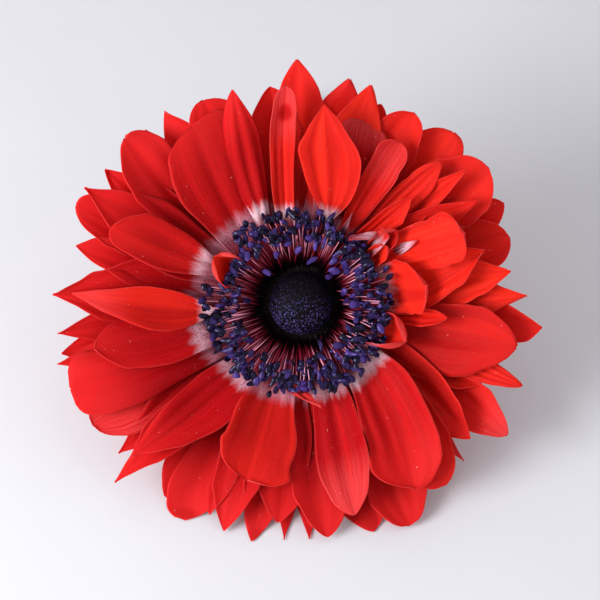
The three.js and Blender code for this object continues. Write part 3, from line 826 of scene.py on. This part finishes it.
print("points of one petal:", 2 * (ALONG + 1) * (ACROSS + 1))

# %% [markdown]
# All the petals of a rank go into one piece, because they hold together at their roots. One piece for
# the whole bloom would be simpler still, but each piece has to stay under the number of triangles
# that its file can carry.

# %% Petals by rank
RANKS = 6
NUMBERS_A_RANK = 20
PETALOID_NUMBER = 200


def add_petals(name, rows, first, draw):
    """Join the blades of several petals into one piece, with the petals numbered on from the first."""
    blades = [petal_blade(row, first + i, draw) for i, row in enumerate(rows)]
    size = 2 * (ALONG + 1) * (ACROSS + 1)
    points = np.concatenate([points.reshape(-1, 3) for points, _, _ in blades])
    uv = np.concatenate([uv.reshape(-1, 2) for _, uv, _ in blades])
    marks = {
        mark: np.concatenate([marks[mark].ravel() for _, _, marks in blades])
        for mark in blades[0][2]
    }
    faces = repeat_faces(blade_faces(ALONG + 1, ACROSS + 1), size, len(rows))
    add_piece(name, bloom_to_row(points), [faces], uv, marks, petal_material, "petals")


petal_draw = np.random.default_rng(7)
for rank in range(RANKS):
    of_rank = [row for row in PETALS if int(row[0]) == rank]
    add_petals(f"petals_rank_{rank}", of_rank, NUMBERS_A_RANK * rank, petal_draw)
add_petals("petaloid_stamens", PETALOIDS, PETALOID_NUMBER, petal_draw)

# %% [markdown]
# The petals and stamens grow from a short cone of flesh. Seen from the face only its dark rim shows
# between the filaments. From below it is green, and it carries the stem. It is a profile turned
# about the flower's axis, which is the simplest surface with the right silhouette.

# %% Receptacle
SKIN_UV = 20  # millimetres of a turned or carried skin for one step of its UV map
RECEPTACLE_SIDES = 64
RECEPTACLE_PROFILE = [
    (0.02, -5.0), (2.4, -5.0), (4.4, -4.75), (6.2, -4.3), (7.4, -3.6), (8.0, -2.6),
    (8.2, -1.4), (8.2, -0.3), (7.9, 0.4), (7.2, 0.8), (6.0, 1.0), (3.0, 1.1), (0.02, 1.1),
]


def receptacle_finish():
    """Green below, near-black maroon on the face where the stamens stand."""
    finish = Finish("receptacle")
    mottle = finish.noise(finish.place(), scale=900)
    green = finish.mix(mottle, rgb(92, 112, 52), rgb(120, 134, 66))
    dark = finish.mix(mottle, rgb(4, 1, 3), rgb(13, 2, 6))
    face = finish.span(finish.mark("level"), -2.4, -0.6)
    finish.set(
        Base_Color=finish.mix(face, green, dark),
        Normal=finish.bump(mottle, 0.0001),
        Roughness=0.6,
        Specular_IOR_Level=0.1,
    )
    return finish.material


def add_receptacle():
    """The profile's pairs of radius and height, turned: radius by cosine and sine, and height."""
    radius, height = np.array(RECEPTACLE_PROFILE).T
    angle = np.linspace(0, 2 * np.pi, RECEPTACLE_SIDES, endpoint=False)
    outward, _ = directions(angle)
    points = outward * radius[:, None, None] + UP * height[:, None, None]
    skin, caps = tube_faces(len(radius), RECEPTACLE_SIDES)
    add_piece(
        "receptacle", bloom_to_row(points.reshape(-1, 3)), [skin[:, ::-1], caps[:, ::-1]],
        points[..., :2].reshape(-1, 2) / SKIN_UV, {"level": points[..., 2]}, receptacle_finish(),
        "petals",
    )


add_receptacle()

# %% [markdown]
# The dark eye is a dome of packed carpels, each no more than a grain. Its finish is near black, and
# the tops of some grains get a painted blue-violet sheen, so the mesh says how high each point stands
# on its grain and how much painted sheen that grain gets.

# %% Carpel finish


def carpel_finish():
    """Near-black grains whose tops get a painted blue-violet sheen."""
    finish = Finish("carpels")
    specks = finish.noise(finish.place(), scale=4200, detail=2)
    # Painted sheen: the tops of grains, picked by noise and more on the dome's lower half, turn
    # blue-violet.
    top = finish.span(finish.mark("grain"), 0.3, 0.9)
    lit = finish.math("MULTIPLY", top, finish.span(specks, 0.4, 0.62), clamp=True)
    bloom = finish.math("MULTIPLY", lit, finish.mark("painted_sheen"))
    finish.set(
        Base_Color=finish.mix(bloom, rgb(6, 3, 9), rgb(130, 114, 204)),
        Normal=finish.bump(specks, 0.0001, 0.8),
        Roughness=0.5,
        Specular_IOR_Level=0.08,
    )
    return finish.material


carpel_material = carpel_finish()
print("carpel finish:", len(carpel_material.node_tree.nodes), "nodes")

# %% [markdown]
# The grains are packed in the spirals that a sunflower has: every next one turns by the golden angle,
# and a small draw loosens them. The dome below them is half an ellipse on a short skirt, and both the
# grains and its skin are points of it.

# %% The dome's form
DOME_RADIUS = 5.2
DOME_BASE = RECEPTACLE_TOP + FIT
DOME_HEIGHT = 6.6
DOME_SKIRT = 1.2
DOME_RISE = (-14, 89.4)
DOME_ROWS = 110
DOME_SIDES = 250
GRAINS = 2200
GRAIN_SCATTER = 0.09
GRAIN_RELIEF = 0.17
GOLDEN_ANGLE = 137.508
BLOCKS = 60


def dome_point(rise, turn):
    """A point of the dome's ellipse at an angle of rise from its rim, turned about the axis."""
    radius = DOME_RADIUS * np.cos(rise)
    height = DOME_BASE + DOME_SKIRT + (DOME_HEIGHT - DOME_SKIRT) * np.sin(rise)
    return np.stack([radius * np.cos(turn), radius * np.sin(turn), height], axis=-1)


def nearest_grain(points, grains):
    """Distance to the nearest grain, and its number, in blocks that keep the arrays small."""
    gaps = [
        np.linalg.norm(block[:, None] - grains[None], axis=-1)
        for block in np.array_split(points, BLOCKS)
    ]
    distance = np.concatenate([gap.min(axis=1) for gap in gaps])
    return distance, np.concatenate([gap.argmin(axis=1) for gap in gaps])


grain_spacing = np.sqrt(2 * np.pi * DOME_RADIUS * DOME_HEIGHT * 1.1 / GRAINS)
print("grains are about", grain_spacing.round(2), "mm apart")

# %% [markdown]
# Thousands of small balls would hide most of their faces in each other. Instead the dome's own skin,
# a fine grid, is pushed out towards each grain and in between them, by its distance to the nearest
# one. It stays one closed skin, and the grains on its lower half get the most painted sheen.

# %% Dome of carpels


def add_dome():
    """A fine grid over the dome, raised towards the nearest grain of a scattered golden spiral."""
    draw = np.random.default_rng(11)
    rise, turn = np.meshgrid(
        np.radians(np.linspace(*DOME_RISE, DOME_ROWS)),
        np.linspace(0, 2 * np.pi, DOME_SIDES, endpoint=False),
        indexing="ij",
    )
    points = dome_point(rise, turn).reshape(-1, 3)
    order = np.arange(GRAINS) + draw.uniform(0, 1, GRAINS)
    grain_rise = np.arcsin(1 - order / GRAINS * 1.2)
    grain_turn = np.arange(GRAINS) * np.radians(GOLDEN_ANGLE)
    grains = dome_point(grain_rise, grain_turn) + draw.normal(0, GRAIN_SCATTER, (GRAINS, 3))
    distance, owner = nearest_grain(points, grains)
    bulge = np.sqrt(np.clip(1 - (distance / (0.62 * grain_spacing)) ** 2, 0, 1))
    centre = np.array([0, 0, DOME_BASE + DOME_SKIRT])
    points = points + unit(points - centre) * (GRAIN_RELIEF * (bulge - 0.45))[:, None]
    skin, caps = tube_faces(DOME_ROWS, DOME_SIDES)
    uv = np.stack([turn / (2 * np.pi), rise], axis=-1).reshape(-1, 2)
    # The grains on the dome's lower half get the most painted sheen.
    facing = np.clip(0.36 - points[:, 1] / DOME_RADIUS, 0.07, 0.75)
    painted_sheen = facing * (draw.uniform(0, 1, GRAINS) ** 2.2)[owner]
    add_piece(
        "carpels", bloom_to_row(points), [skin[:, ::-1], caps[:, ::-1]], uv,
        {"grain": bulge, "painted_sheen": painted_sheen}, carpel_material, "carpel_dome",
    )


add_dome()

# %% [markdown]
# Round the dome stand the stamens in loose rows. They could be scattered freely, but then some would
# crowd and others leave holes, so their bearings follow the golden angle too, with a little scatter.
# Those inside a petal-like stamen are shorter, as on the flower, and a few lean in over the dome.

# %% Where the stamens stand
STAMENS = 480
ANTHER_REACH = (10.6, 11.9, 13.0, 14.0, 14.9)
ANTHER_HEIGHT = (5.8, 6.5, 6.9, 6.8, 6.5)
RING_SHIFT = 0.7
SHELTER_DEPTH = 3.4
SHELTER_MARGIN = 4
INNER_SHARE = 0.07


def stamen_places(draw):
    """Bearing, reach, height and swing of every anther, by the golden angle and small draws."""
    order = np.arange(STAMENS)
    bearing = (order * GOLDEN_ANGLE + draw.uniform(-2, 2, STAMENS)) % 360
    row = order % len(ANTHER_REACH)
    reach = np.take(ANTHER_REACH, row) + draw.uniform(-0.8, 0.8, STAMENS)
    inner = draw.random(STAMENS) < INNER_SHARE * (1.3 + np.sin(np.radians(bearing)))
    reach = reach - inner * draw.uniform(1.5, 4, STAMENS) - RING_SHIFT * np.cos(np.radians(bearing))
    height = np.take(ANTHER_HEIGHT, row) + draw.uniform(-0.7, 0.5, STAMENS)
    for _, start, end, tip, width, _, _, shape in PETALOIDS:
        passing = start + (end - start) * (reach - PETAL_ROOT) / (tip - PETAL_ROOT)
        between = np.abs((bearing - passing + 180) % 360 - 180)
        across = width / 2 * np.sinc(shape.get("left", 0.5) / np.pi)
        near = between < np.degrees(across / ANTHER_REACH[2]) + SHELTER_MARGIN
        deepest = tip - shape.get("inside", SHELTER_DEPTH)
        reach = np.where(near, np.minimum(reach, deepest), reach)
    swing = draw.uniform(-1.0, 1.0, STAMENS)
    return np.radians(bearing), reach, height, swing


stamen_draw = np.random.default_rng(31)
bearing, reach, height, swing = stamen_places(stamen_draw)
print("reach of the anthers, millimetres:", reach.min().round(1), "to", reach.max().round(1))

# %% [markdown]
# Filaments and anthers are both tubes, hundreds of each. A tube is a ring of points carried along a
# path, and numpy can carry the rings of all paths in one step, so each kind becomes one block of
# arrays. One piece holds a kind, and its faces are one tube's faces repeated.

# %% Many tubes at once


def tubes(paths, radii, sides):
    """Rings about many paths at once: paths (count, rings, 3), radii (count, rings)."""
    tangent = unit(np.gradient(paths, axis=1))
    level = unit(np.cross(tangent, UP))
    upright = np.cross(level, tangent)
    angle = np.linspace(0, 2 * np.pi, sides, endpoint=False)[:, None]
    ring = level[:, :, None] * np.cos(angle) + upright[:, :, None] * np.sin(angle)
    return paths[:, :, None] + ring * radii[:, :, None, None]


def add_tubes(name, points, marks, material):
    """Join tubes of points (count, rings, sides, 3) in one piece, with the first mark as its UV."""
    count, rings, sides, _ = points.shape
    faces = [repeat_faces(part, rings * sides, count) for part in tube_faces(rings, sides)]
    marks = {mark: np.broadcast_to(values, points.shape[:3]) for mark, values in marks.items()}
    first = next(iter(marks.values()))
    uv = np.stack([first, first], axis=-1).reshape(-1, 2)
    place = bloom_to_row(points.reshape(-1, 3))
    add_piece(name, place, faces, uv, marks, material, "stamens")


sample_tube = tubes(np.array([[[0, 0, 0], [1, 0, 0], [2, 0, 0.0]]]), np.full((1, 3), 0.1), 5)
print("shape of one short tube's points:", sample_tube.shape)

# %% [markdown]
# A filament is a thin thread, dark at its root and maroon along its middle, and under its anther some
# carry a painted highlight of pale pink. It leaves the collar, arches outwards and up, and drifts a
# little to one side. Hair curves would draw hundreds of threads at once, but they get lost when a
# model is exported, so each one is a slim tube with five sides.

# %% Filaments
FILAMENT_STEPS = 8
FILAMENT_SIDES = 5
FILAMENT_RADIUS = 0.12
FILAMENT_TAPER = 0.05
COLLAR_RADII = (5.7, 6.5)
COLLAR_LEVEL = 1.6


def filament_finish():
    """Near-black at the root, maroon along the middle, and a painted pale pink highlight under the
    anther of some.
    """
    finish = Finish("filament")
    along = finish.mark("along")
    # Painted highlight: the tone turns the upper part of some filaments pale pink.
    upper = finish.mix(finish.mark("tone"), rgb(116, 10, 36), rgb(252, 170, 200))
    colour = finish.mix(finish.span(along, 0.2, 0.6), rgb(8, 0, 4), rgb(126, 10, 32))
    colour = finish.mix(finish.span(along, 0.32, 0.8), colour, upper)
    finish.set(Base_Color=colour, Roughness=0.45, Specular_IOR_Level=0.12)
    return finish.material


def add_filaments(bearing, reach, height, draw):
    """Distance grows evenly, height like a quarter of a sine, and drift with the square."""
    share = np.linspace(0, 1, FILAMENT_STEPS + 1)
    root = draw.uniform(*COLLAR_RADII, STAMENS)
    drift = draw.uniform(-0.9, 0.9, STAMENS)
    outward, sideways = directions(bearing)
    run = root[:, None] + (reach - root)[:, None] * share
    rise = COLLAR_LEVEL + (height - COLLAR_LEVEL)[:, None] * np.sin(share * np.pi / 2) ** 0.92
    side = drift[:, None] * share**2
    paths = (
        outward[:, None] * run[..., None] + sideways[:, None] * side[..., None]
        + UP * rise[..., None]
    )
    radii = np.broadcast_to(FILAMENT_RADIUS - FILAMENT_TAPER * share, rise.shape)
    tone = draw.uniform(0, 1, STAMENS)[:, None, None] ** 3
    marks = {"along": share[None, :, None], "tone": tone}
    add_tubes("filaments", tubes(paths, radii, FILAMENT_SIDES), marks, filament_finish())
    return paths[:, -1]


filament_tips = add_filaments(bearing, reach, height, stamen_draw)

# %% [markdown]
# Anthers are glossy, blue-black to violet, with patches and a little dust of pollen. A number on the
# mesh gives each its own tone, and the patches are noise about the size of one anther. The gloss is
# tinted, because the small lights on them are bluish.

# %% Anther finish


def anther_finish():
    """Glossy blue-black to violet, a different tone for each anther, dusted with pollen."""
    finish = Finish("anther")
    dust = finish.noise(finish.place(), scale=4200, detail=2)
    patches = finish.noise(finish.place(), scale=1000, detail=1)
    patches = finish.span(patches, 0.52, 0.68, 0, 0.32)
    violet = finish.math("ADD", finish.mark("tone"), patches, clamp=True)
    colour = finish.mix(violet, rgb(7, 5, 19), rgb(80, 58, 138))
    colour = finish.mix(finish.span(dust, 0.55, 0.68, 0, 0.2), colour, rgb(60, 48, 96))
    finish.set(
        Base_Color=colour,
        Normal=finish.bump(dust, 0.00006, 0.5),
        Roughness=0.19,
        Specular_IOR_Level=0.3,
        Specular_Tint=rgb(214, 208, 255),
    )
    return finish.material


anther_material = anther_finish()
print("anther finish:", len(anther_material.node_tree.nodes), "nodes")

# %% [markdown]
# Each anther is an oval on the tip of its filament. A stretched sphere would do from far off, but a
# groove along its face, a bend and a waist make it an anther. No two are alike, so length, width,
# pitch, bend and tone are all drawn.

# %% Anthers
ANTHER_STEPS = 6
ANTHER_SIDES = 8
ANTHER_LENGTH = 2.3
ANTHER_RADIUS = 0.47
ANTHER_SEAT = 0.12
ANTHER_BEND = 0.3
GROOVE_DEPTH = 0.4
FLATTENING = 0.18


def add_anthers(bearing, reach, swing, tips, draw):
    """Ovals that end as a power curve, bent by a parabola, waisted by a sine, grooved on one side."""
    share = np.linspace(-1, 1, ANTHER_STEPS + 1)
    long = ANTHER_LENGTH / 2 * draw.uniform(0.65, 1.15, STAMENS)
    wide = ANTHER_RADIUS * draw.uniform(0.6, 1.15, STAMENS)
    pitch = draw.uniform(-0.8, 1.1, STAMENS)
    outward, sideways = directions(bearing)
    lying = (
        outward * (np.cos(swing) * np.cos(pitch))[:, None]
        + sideways * (np.sin(swing) * np.cos(pitch))[:, None]
        + UP * np.sin(pitch)[:, None]
    )
    centre = tips + UP * ANTHER_SEAT
    axis = centre[:, None] + lying[:, None] * (share[None, :] * long[:, None])[..., None]
    axis = axis + unit(draw.normal(0, 1, (STAMENS, 1, 3))) * (ANTHER_BEND * share**2)[None, :, None]
    oval = np.sqrt(np.clip(1 - np.abs(share) ** 2.6, 0.004, 1))
    waist = 1 + draw.uniform(-0.3, 0.3, STAMENS)[:, None] * np.sin(3 * share)
    points = tubes(axis, wide[:, None] * oval * waist, ANTHER_SIDES)
    angle = np.linspace(0, 2 * np.pi, ANTHER_SIDES, endpoint=False)
    groove = 1 - GROOVE_DEPTH * np.clip(np.sin(angle), 0, 1) ** 6
    flat = 1 + FLATTENING * np.cos(angle) ** 2
    points = axis[:, :, None] + (points - axis[:, :, None]) * (groove * flat)[:, None]
    above = np.clip(0.3 + np.sin(bearing), 0, 1)
    violet = 0.7 * draw.uniform(0, 1, STAMENS) ** 4 + 0.7 * above * np.clip((11 - reach) / 3, 0, 1)
    add_tubes("anthers", points, {"tone": np.clip(violet, 0, 1)[:, None, None]}, anther_material)


add_anthers(bearing, reach, swing, filament_tips, stamen_draw)

# %% [markdown]
# The stem leaves the back of the bloom, bends once and lies along the table. Its middle line has three
# stretches, a short straight neck, an arc and a straight run, and one formula gives all of them: each
# stretch takes its own share of the distance from the bloom.

# %% The stem's line


def stem_line(distance):
    """Points of the stem's middle line and its heading, by distance from the bloom."""
    neck = np.minimum(distance, STEM_NECK)
    turned = np.clip(distance - STEM_NECK, 0, stem_arc) / stem_bend
    flat = np.maximum(0, distance - STEM_NECK - stem_arc)
    heading = stem_fall - turned
    y = neck * np.cos(stem_fall) + stem_bend * (np.sin(stem_fall) - np.sin(heading)) + flat
    z = neck * np.sin(stem_fall) + stem_bend * (np.cos(heading) - np.cos(stem_fall))
    return np.stack([0 * y, stem_start[1] + y, BLOOM_HEIGHT + stem_start[2] - z], axis=-1), heading


def stem_to_row(points):
    """From millimetres about the foot of the bloom's middle to the row's metres."""
    return points * MM + bloom_middle * [1, 1, 0]


stem_length = STEM_NECK + stem_arc + STEM_STRAIGHT
print("stem length, millimetres:", stem_length.round(1))

# %% [markdown]
# The stem is juicy green with darker streaks along it. It flushes purple towards the bloom, and its
# cut end is paler. The mesh says how far each point is from the bloom and whether it was cut, so the
# colours follow the stem round its bend, where a pattern in space would cut across it.

# %% Stem finish


def stem_finish():
    """Green with darker ribs, purple towards the bloom, and pale where it was cut."""
    finish = Finish("stem")
    streaks = finish.noise(finish.place("UV", (26, 2, 1)), detail=3)
    green = finish.mix(finish.span(streaks, 0.3, 0.7), rgb(88, 112, 44), rgb(132, 150, 74))
    flush = finish.span(finish.mark("along"), 26, 2, 0, 0.6)
    colour = finish.mix(flush, green, rgb(104, 54, 62))
    finish.set(
        Base_Color=finish.mix(finish.mark("cut"), colour, rgb(196, 208, 150)),
        Normal=finish.bump(streaks, 0.0002, 0.6),
        Roughness=0.5,
        Subsurface_Weight=0.1,
        Subsurface_Scale=0.001,
        Sheen_Weight=0.3,
    )
    return finish.material


stem_material = stem_finish()
print("stem finish:", len(stem_material.node_tree.nodes), "nodes")

# %% [markdown]
# The stem is round with shallow ribs, flattened where it rests, and cut square at its end. A curve
# with a bevel would give a plain tube at once, but rings worked out along the line can also carry
# ribs, a flat underside and a cut face. Its first ring starts inside the bloom, out of sight.

# %% Stem
STEM_RINGS = 90
STEM_CORNERS = 54
STEM_RIBS = 9
RIB_DEPTH = 0.022
STEM_SHARE = 0.985
INSIDE_BLOOM = 1.0
CUT_SHRINK = (0.93, 0.86, 0.4, 0.02)
CUT_INSET = (0.0, 0.12, 0.2, 0.2)


def add_stem():
    """Ribbed rings: radius times 1 plus a small cosine, set square to the line, none below 0."""
    distance = np.linspace(-INSIDE_BLOOM, stem_length, STEM_RINGS)
    distance = np.concatenate([distance, np.full(len(CUT_SHRINK), stem_length)])
    shrink = np.concatenate([np.ones(STEM_RINGS), CUT_SHRINK])
    inset = np.concatenate([np.zeros(STEM_RINGS), CUT_INSET])
    middle, heading = stem_line(distance)
    below = np.minimum(distance, 0)[:, None] * np.array([0, np.cos(stem_fall), -np.sin(stem_fall)])
    middle = middle + np.where(distance[:, None] < 0, below, 0)
    middle[:, 1] -= inset
    angle = np.linspace(0, 2 * np.pi, STEM_CORNERS, endpoint=False)
    ribs = 1 + RIB_DEPTH * np.cos(STEM_RIBS * angle)
    radius = STEM_SHARE * STEM_RADIUS * ribs[None, :] * shrink[:, None]
    normal = np.stack([0 * heading, np.sin(heading), np.cos(heading)], axis=-1)
    points = (
        middle[:, None]
        + radius[..., None] * np.cos(angle)[None, :, None] * np.array([1.0, 0, 0])
        + radius[..., None] * np.sin(angle)[None, :, None] * normal[:, None]
    )
    points[..., 2] = np.maximum(points[..., 2], 0)
    skin, caps = tube_faces(len(distance), STEM_CORNERS)
    grid = np.broadcast_to(distance[:, None], radius.shape)
    cut = np.broadcast_to((shrink < 0.9)[:, None], radius.shape)
    uv = np.stack([np.broadcast_to(angle / (2 * np.pi), radius.shape), grid / SKIN_UV], axis=-1)
    add_piece(
        "stem_skin", stem_to_row(points.reshape(-1, 3)), [skin, caps], uv.reshape(-1, 2),
        {"along": grid, "cut": cut}, stem_material, "stem",
    )


add_stem()

# %% [markdown]
# Below the bloom the stem carries a ruff of three leaf-like bracts, cut nearly to their base into
# narrow fingers. A leaf could be cut from one sheet, but here each finger is its own curved blade with
# toothed edges, because it then has its own keel and droop, as on the plant.

# %% A finger of a bract
RUFF_DISTANCE = 12.0
RUFF_LENGTH = 15.5
RUFF_COLLAR = 2.2
RUFF_WALL = 0.9
FINGER_ROWS = 23
FINGER_COLUMNS = 9
FINGER_HALF_THICK = 0.12
TEETH = 0.16
KEEL = 0.35
RIPPLE = 0.1


def finger_blade(bearing, length, slope, turn, draw):
    """A pointed blade: toothed sine for its half width, a keel, and a slope away from the ring."""
    s, t = np.meshgrid(
        np.linspace(0, 1, FINGER_ROWS), np.linspace(-1, 1, FINGER_COLUMNS), indexing="ij"
    )
    distance = length * s
    teeth = 1 + TEETH * np.sin(5 * np.pi * s + draw.uniform(0, 6)) * s
    half = (0.45 + 0.95 * np.sin(np.pi * s**1.3) ** 0.8) * teeth
    half = np.maximum(0.04, half * (1 - s**5) + 0.02)
    bend = bearing * (0.35 + 0.65 * np.clip(s * 2.2, 0, 1))
    x = distance * np.cos(bend) - half * t * np.sin(bend)
    y = distance * np.sin(bend) + half * t * np.cos(bend)
    keel = KEEL * half * np.abs(t) + RIPPLE * np.sin(7 * s + draw.uniform(0, 6))
    z = slope * distance + keel - RUFF_COLLAR / 2 + 0.35
    inner = STEM_RADIUS + FIT + RUFF_WALL / 2
    surface = np.stack([x + inner, y, z], axis=-1)
    cos, sin = np.cos(turn), np.sin(turn)
    surface = surface @ np.array([[cos, sin, 0], [-sin, cos, 0], [0, 0, 1]])
    normal = unit(np.cross(np.gradient(surface, axis=0), np.gradient(surface, axis=1)))
    offset = FINGER_HALF_THICK * normal
    return np.stack([surface + offset, surface - offset]), np.abs(t), s


trial_finger, _, _ = finger_blade(0, RUFF_LENGTH, 0.3, 0, np.random.default_rng(1))
print("reach of a finger from the stem's axis:", trial_finger[..., 0].max().round(1))

# %% [markdown]
# Bracts are leaves, so their green is soft and a little translucent, with a paler rib along each
# finger and a dark tip. The rib needs no texture of its own: the mesh says how far each point is from
# the middle of its finger, and a narrow span of that number is the rib.

# %% Bract finish


def bract_finish():
    """Soft green with a paler midrib and a darker tip."""
    finish = Finish("bract")
    mottle = finish.noise(finish.place("UV", (14, 5, 1)), detail=3)
    green = finish.mix(finish.span(mottle, 0.3, 0.7), rgb(70, 104, 38), rgb(104, 138, 60))
    rib = finish.span(finish.mark("border"), 0.16, 0.02)
    colour = finish.mix(rib, green, rgb(146, 168, 96))
    tip = finish.span(finish.mark("along"), 0.86, 1.0, 0, 0.6)
    finish.set(
        Base_Color=finish.mix(tip, colour, rgb(96, 48, 40)),
        Normal=finish.bump(mottle, 0.0002, 0.5),
        Roughness=0.55,
        Subsurface_Weight=0.15,
        Subsurface_Radius=(0.3, 1.0, 0.1),
        Subsurface_Scale=0.001,
        Sheen_Weight=0.2,
    )
    return finish.material


bract_material = bract_finish()
print("bract finish:", len(bract_material.node_tree.nodes), "nodes")

# %% [markdown]
# Three bracts make the ruff. The upper one stays flat behind the petals, and the lower two climb clear
# of the table, so each has a slope of its own. Their fingers run together at a ring round the stem,
# and both are worked out round an upright stem first, because that is easiest to think about.

# %% Fingers and ring
BRACT_RISE = (0.3, 0.74, 0.74)
FINGERS = 9
FINGER_SPREAD = np.radians(58)
RING_SIDES = 48
RING_CORNERS = 12


def ruff_fingers(draw):
    """Nine fingers for each bract, spread evenly, every third one longer, the outer ones shorter."""
    fingers = []
    for k, slope in enumerate(BRACT_RISE):
        turn = np.pi / 2 + 2 * np.pi * k / len(BRACT_RISE)
        for finger in range(FINGERS):
            spread = 2 * finger / (FINGERS - 1) - 1
            length = RUFF_LENGTH * (1 if finger % 3 == 1 else 0.8) * (1 - 0.2 * abs(spread))
            fingers.append(finger_blade(FINGER_SPREAD * spread, length, slope, turn, draw))
    return fingers


def ruff_ring():
    """An oval section turned about the stem: points, and faces that close both ways round."""
    loop = np.linspace(0, 2 * np.pi, RING_CORNERS, endpoint=False)
    radius = STEM_RADIUS + 0.35 + 0.45 * np.cos(loop)
    height = RUFF_COLLAR / 2 * np.sin(loop) * 0.9
    outward, _ = directions(np.linspace(0, 2 * np.pi, RING_SIDES, endpoint=False))
    points = outward * radius[:, None, None] + UP * height[:, None, None]
    faces = grid_faces(RING_CORNERS + 1, RING_SIDES, wrap=True) % (RING_CORNERS * RING_SIDES)
    return points.reshape(-1, 3), faces


fingers = ruff_fingers(np.random.default_rng(5))
ring, ring_faces = ruff_ring()
print(len(fingers), "fingers, and", len(ring), "points in the ring")

# %% [markdown]
# Last, fingers and ring go into one piece, tipped to the stem's heading where they stand on it. On the
# plant they are one growth, and an object of its own for each finger would say otherwise.

# %% Ruff of bracts


def add_ruff():
    """Fingers and ring in one piece, tipped about X to the stem's heading and moved to its line."""
    size = 2 * FINGER_ROWS * FINGER_COLUMNS
    faces = repeat_faces(blade_faces(FINGER_ROWS, FINGER_COLUMNS), size, len(fingers))
    points = np.concatenate([*(points.reshape(-1, 3) for points, _, _ in fingers), ring])
    border = np.concatenate([*(np.tile(t.ravel(), 2) for _, t, _ in fingers), np.full(len(ring), 0.5)])
    along = np.concatenate([*(np.tile(s.ravel(), 2) for _, _, s in fingers), np.zeros(len(ring))])

    middle, heading = stem_line(np.array([RUFF_DISTANCE]))
    tilt = np.pi / 2 - heading[0]
    cos, sin = np.cos(tilt), np.sin(tilt)
    points = points @ np.array([[1, 0, 0], [0, cos, sin], [0, -sin, cos]]) + middle[0]
    add_piece(
        "bracts", stem_to_row(points), [faces, ring_faces + size * len(fingers)],
        np.stack([border, along], axis=-1), {"border": border, "along": along}, bract_material,
        "involucre",
    )


add_ruff()

# %% [markdown]
# The flower lies on a plain pale surface, at the height on which it rests. The surface isn't part of
# the flower, so it is not tied to the flower's frame. A faint mottle keeps it from looking like a
# cut-out.

# %% Surface
TABLE_REACH = 1.5


def add_surface():
    """A wide pale plane at height 0, one face with its four corners at plus and minus the reach."""
    mesh = bpy.data.meshes.new("table")
    corners = [(-1, -1), (1, -1), (1, 1), (-1, 1)]
    points = [(x * TABLE_REACH, y * TABLE_REACH, 0) for x, y in corners]
    mesh.from_pydata(points, [], [(0, 1, 2, 3)])
    finish = Finish("table")
    mottle = finish.noise(finish.place(), scale=40)
    finish.set(Base_Color=finish.mix(mottle, rgb(216, 216, 222), rgb(221, 221, 227)), Roughness=0.7)
    mesh.materials.append(finish.material)
    table = bpy.data.objects.new("table", mesh)
    bpy.context.scene.collection.objects.link(table)


add_surface()
print("surface, metres across:", 2 * TABLE_REACH)

# %% [markdown]
# The light is soft, as on an overcast day by a window. A wide sky of even light does most of the work,
# and one large square lamp at the left gives the petals their modelling. Three lamps would be usual in
# a studio, but each would add shadows that the photograph doesn't have.

# %% Light
LAMP_AT = (-340, -40, 320)  # right, up and out of the bloom's face, millimetres
LAMP_SIZE = 0.24
LAMP_POWER = 2.55
SKY_STRENGTH = 0.71


def add_lamp():
    """A square soft lamp, placed in the bloom's own directions and aimed at its middle."""
    data = bpy.data.lights.new("window", "AREA")
    data.size = LAMP_SIZE
    data.energy = LAMP_POWER
    lamp = bpy.data.objects.new("window", data)
    bpy.context.scene.collection.objects.link(lamp)
    spot = Vector(bloom_to_row(np.array(LAMP_AT, dtype=float)))
    lamp.location = spot
    lamp.rotation_euler = (spot - Vector(bloom_middle)).to_track_quat("Z", "Y").to_euler()


add_lamp()
world = bpy.data.worlds.new("sky")
world.use_nodes = True
background = world.node_tree.nodes["Background"]
background.inputs["Color"].default_value = rgb(250, 250, 252)
background.inputs["Strength"].default_value = SKY_STRENGTH
bpy.context.scene.world = world
bpy.context.scene.view_settings.view_transform = "Standard"
print("lamp from the bloom, millimetres:", round(float(np.linalg.norm(LAMP_AT))))

# %% [markdown]
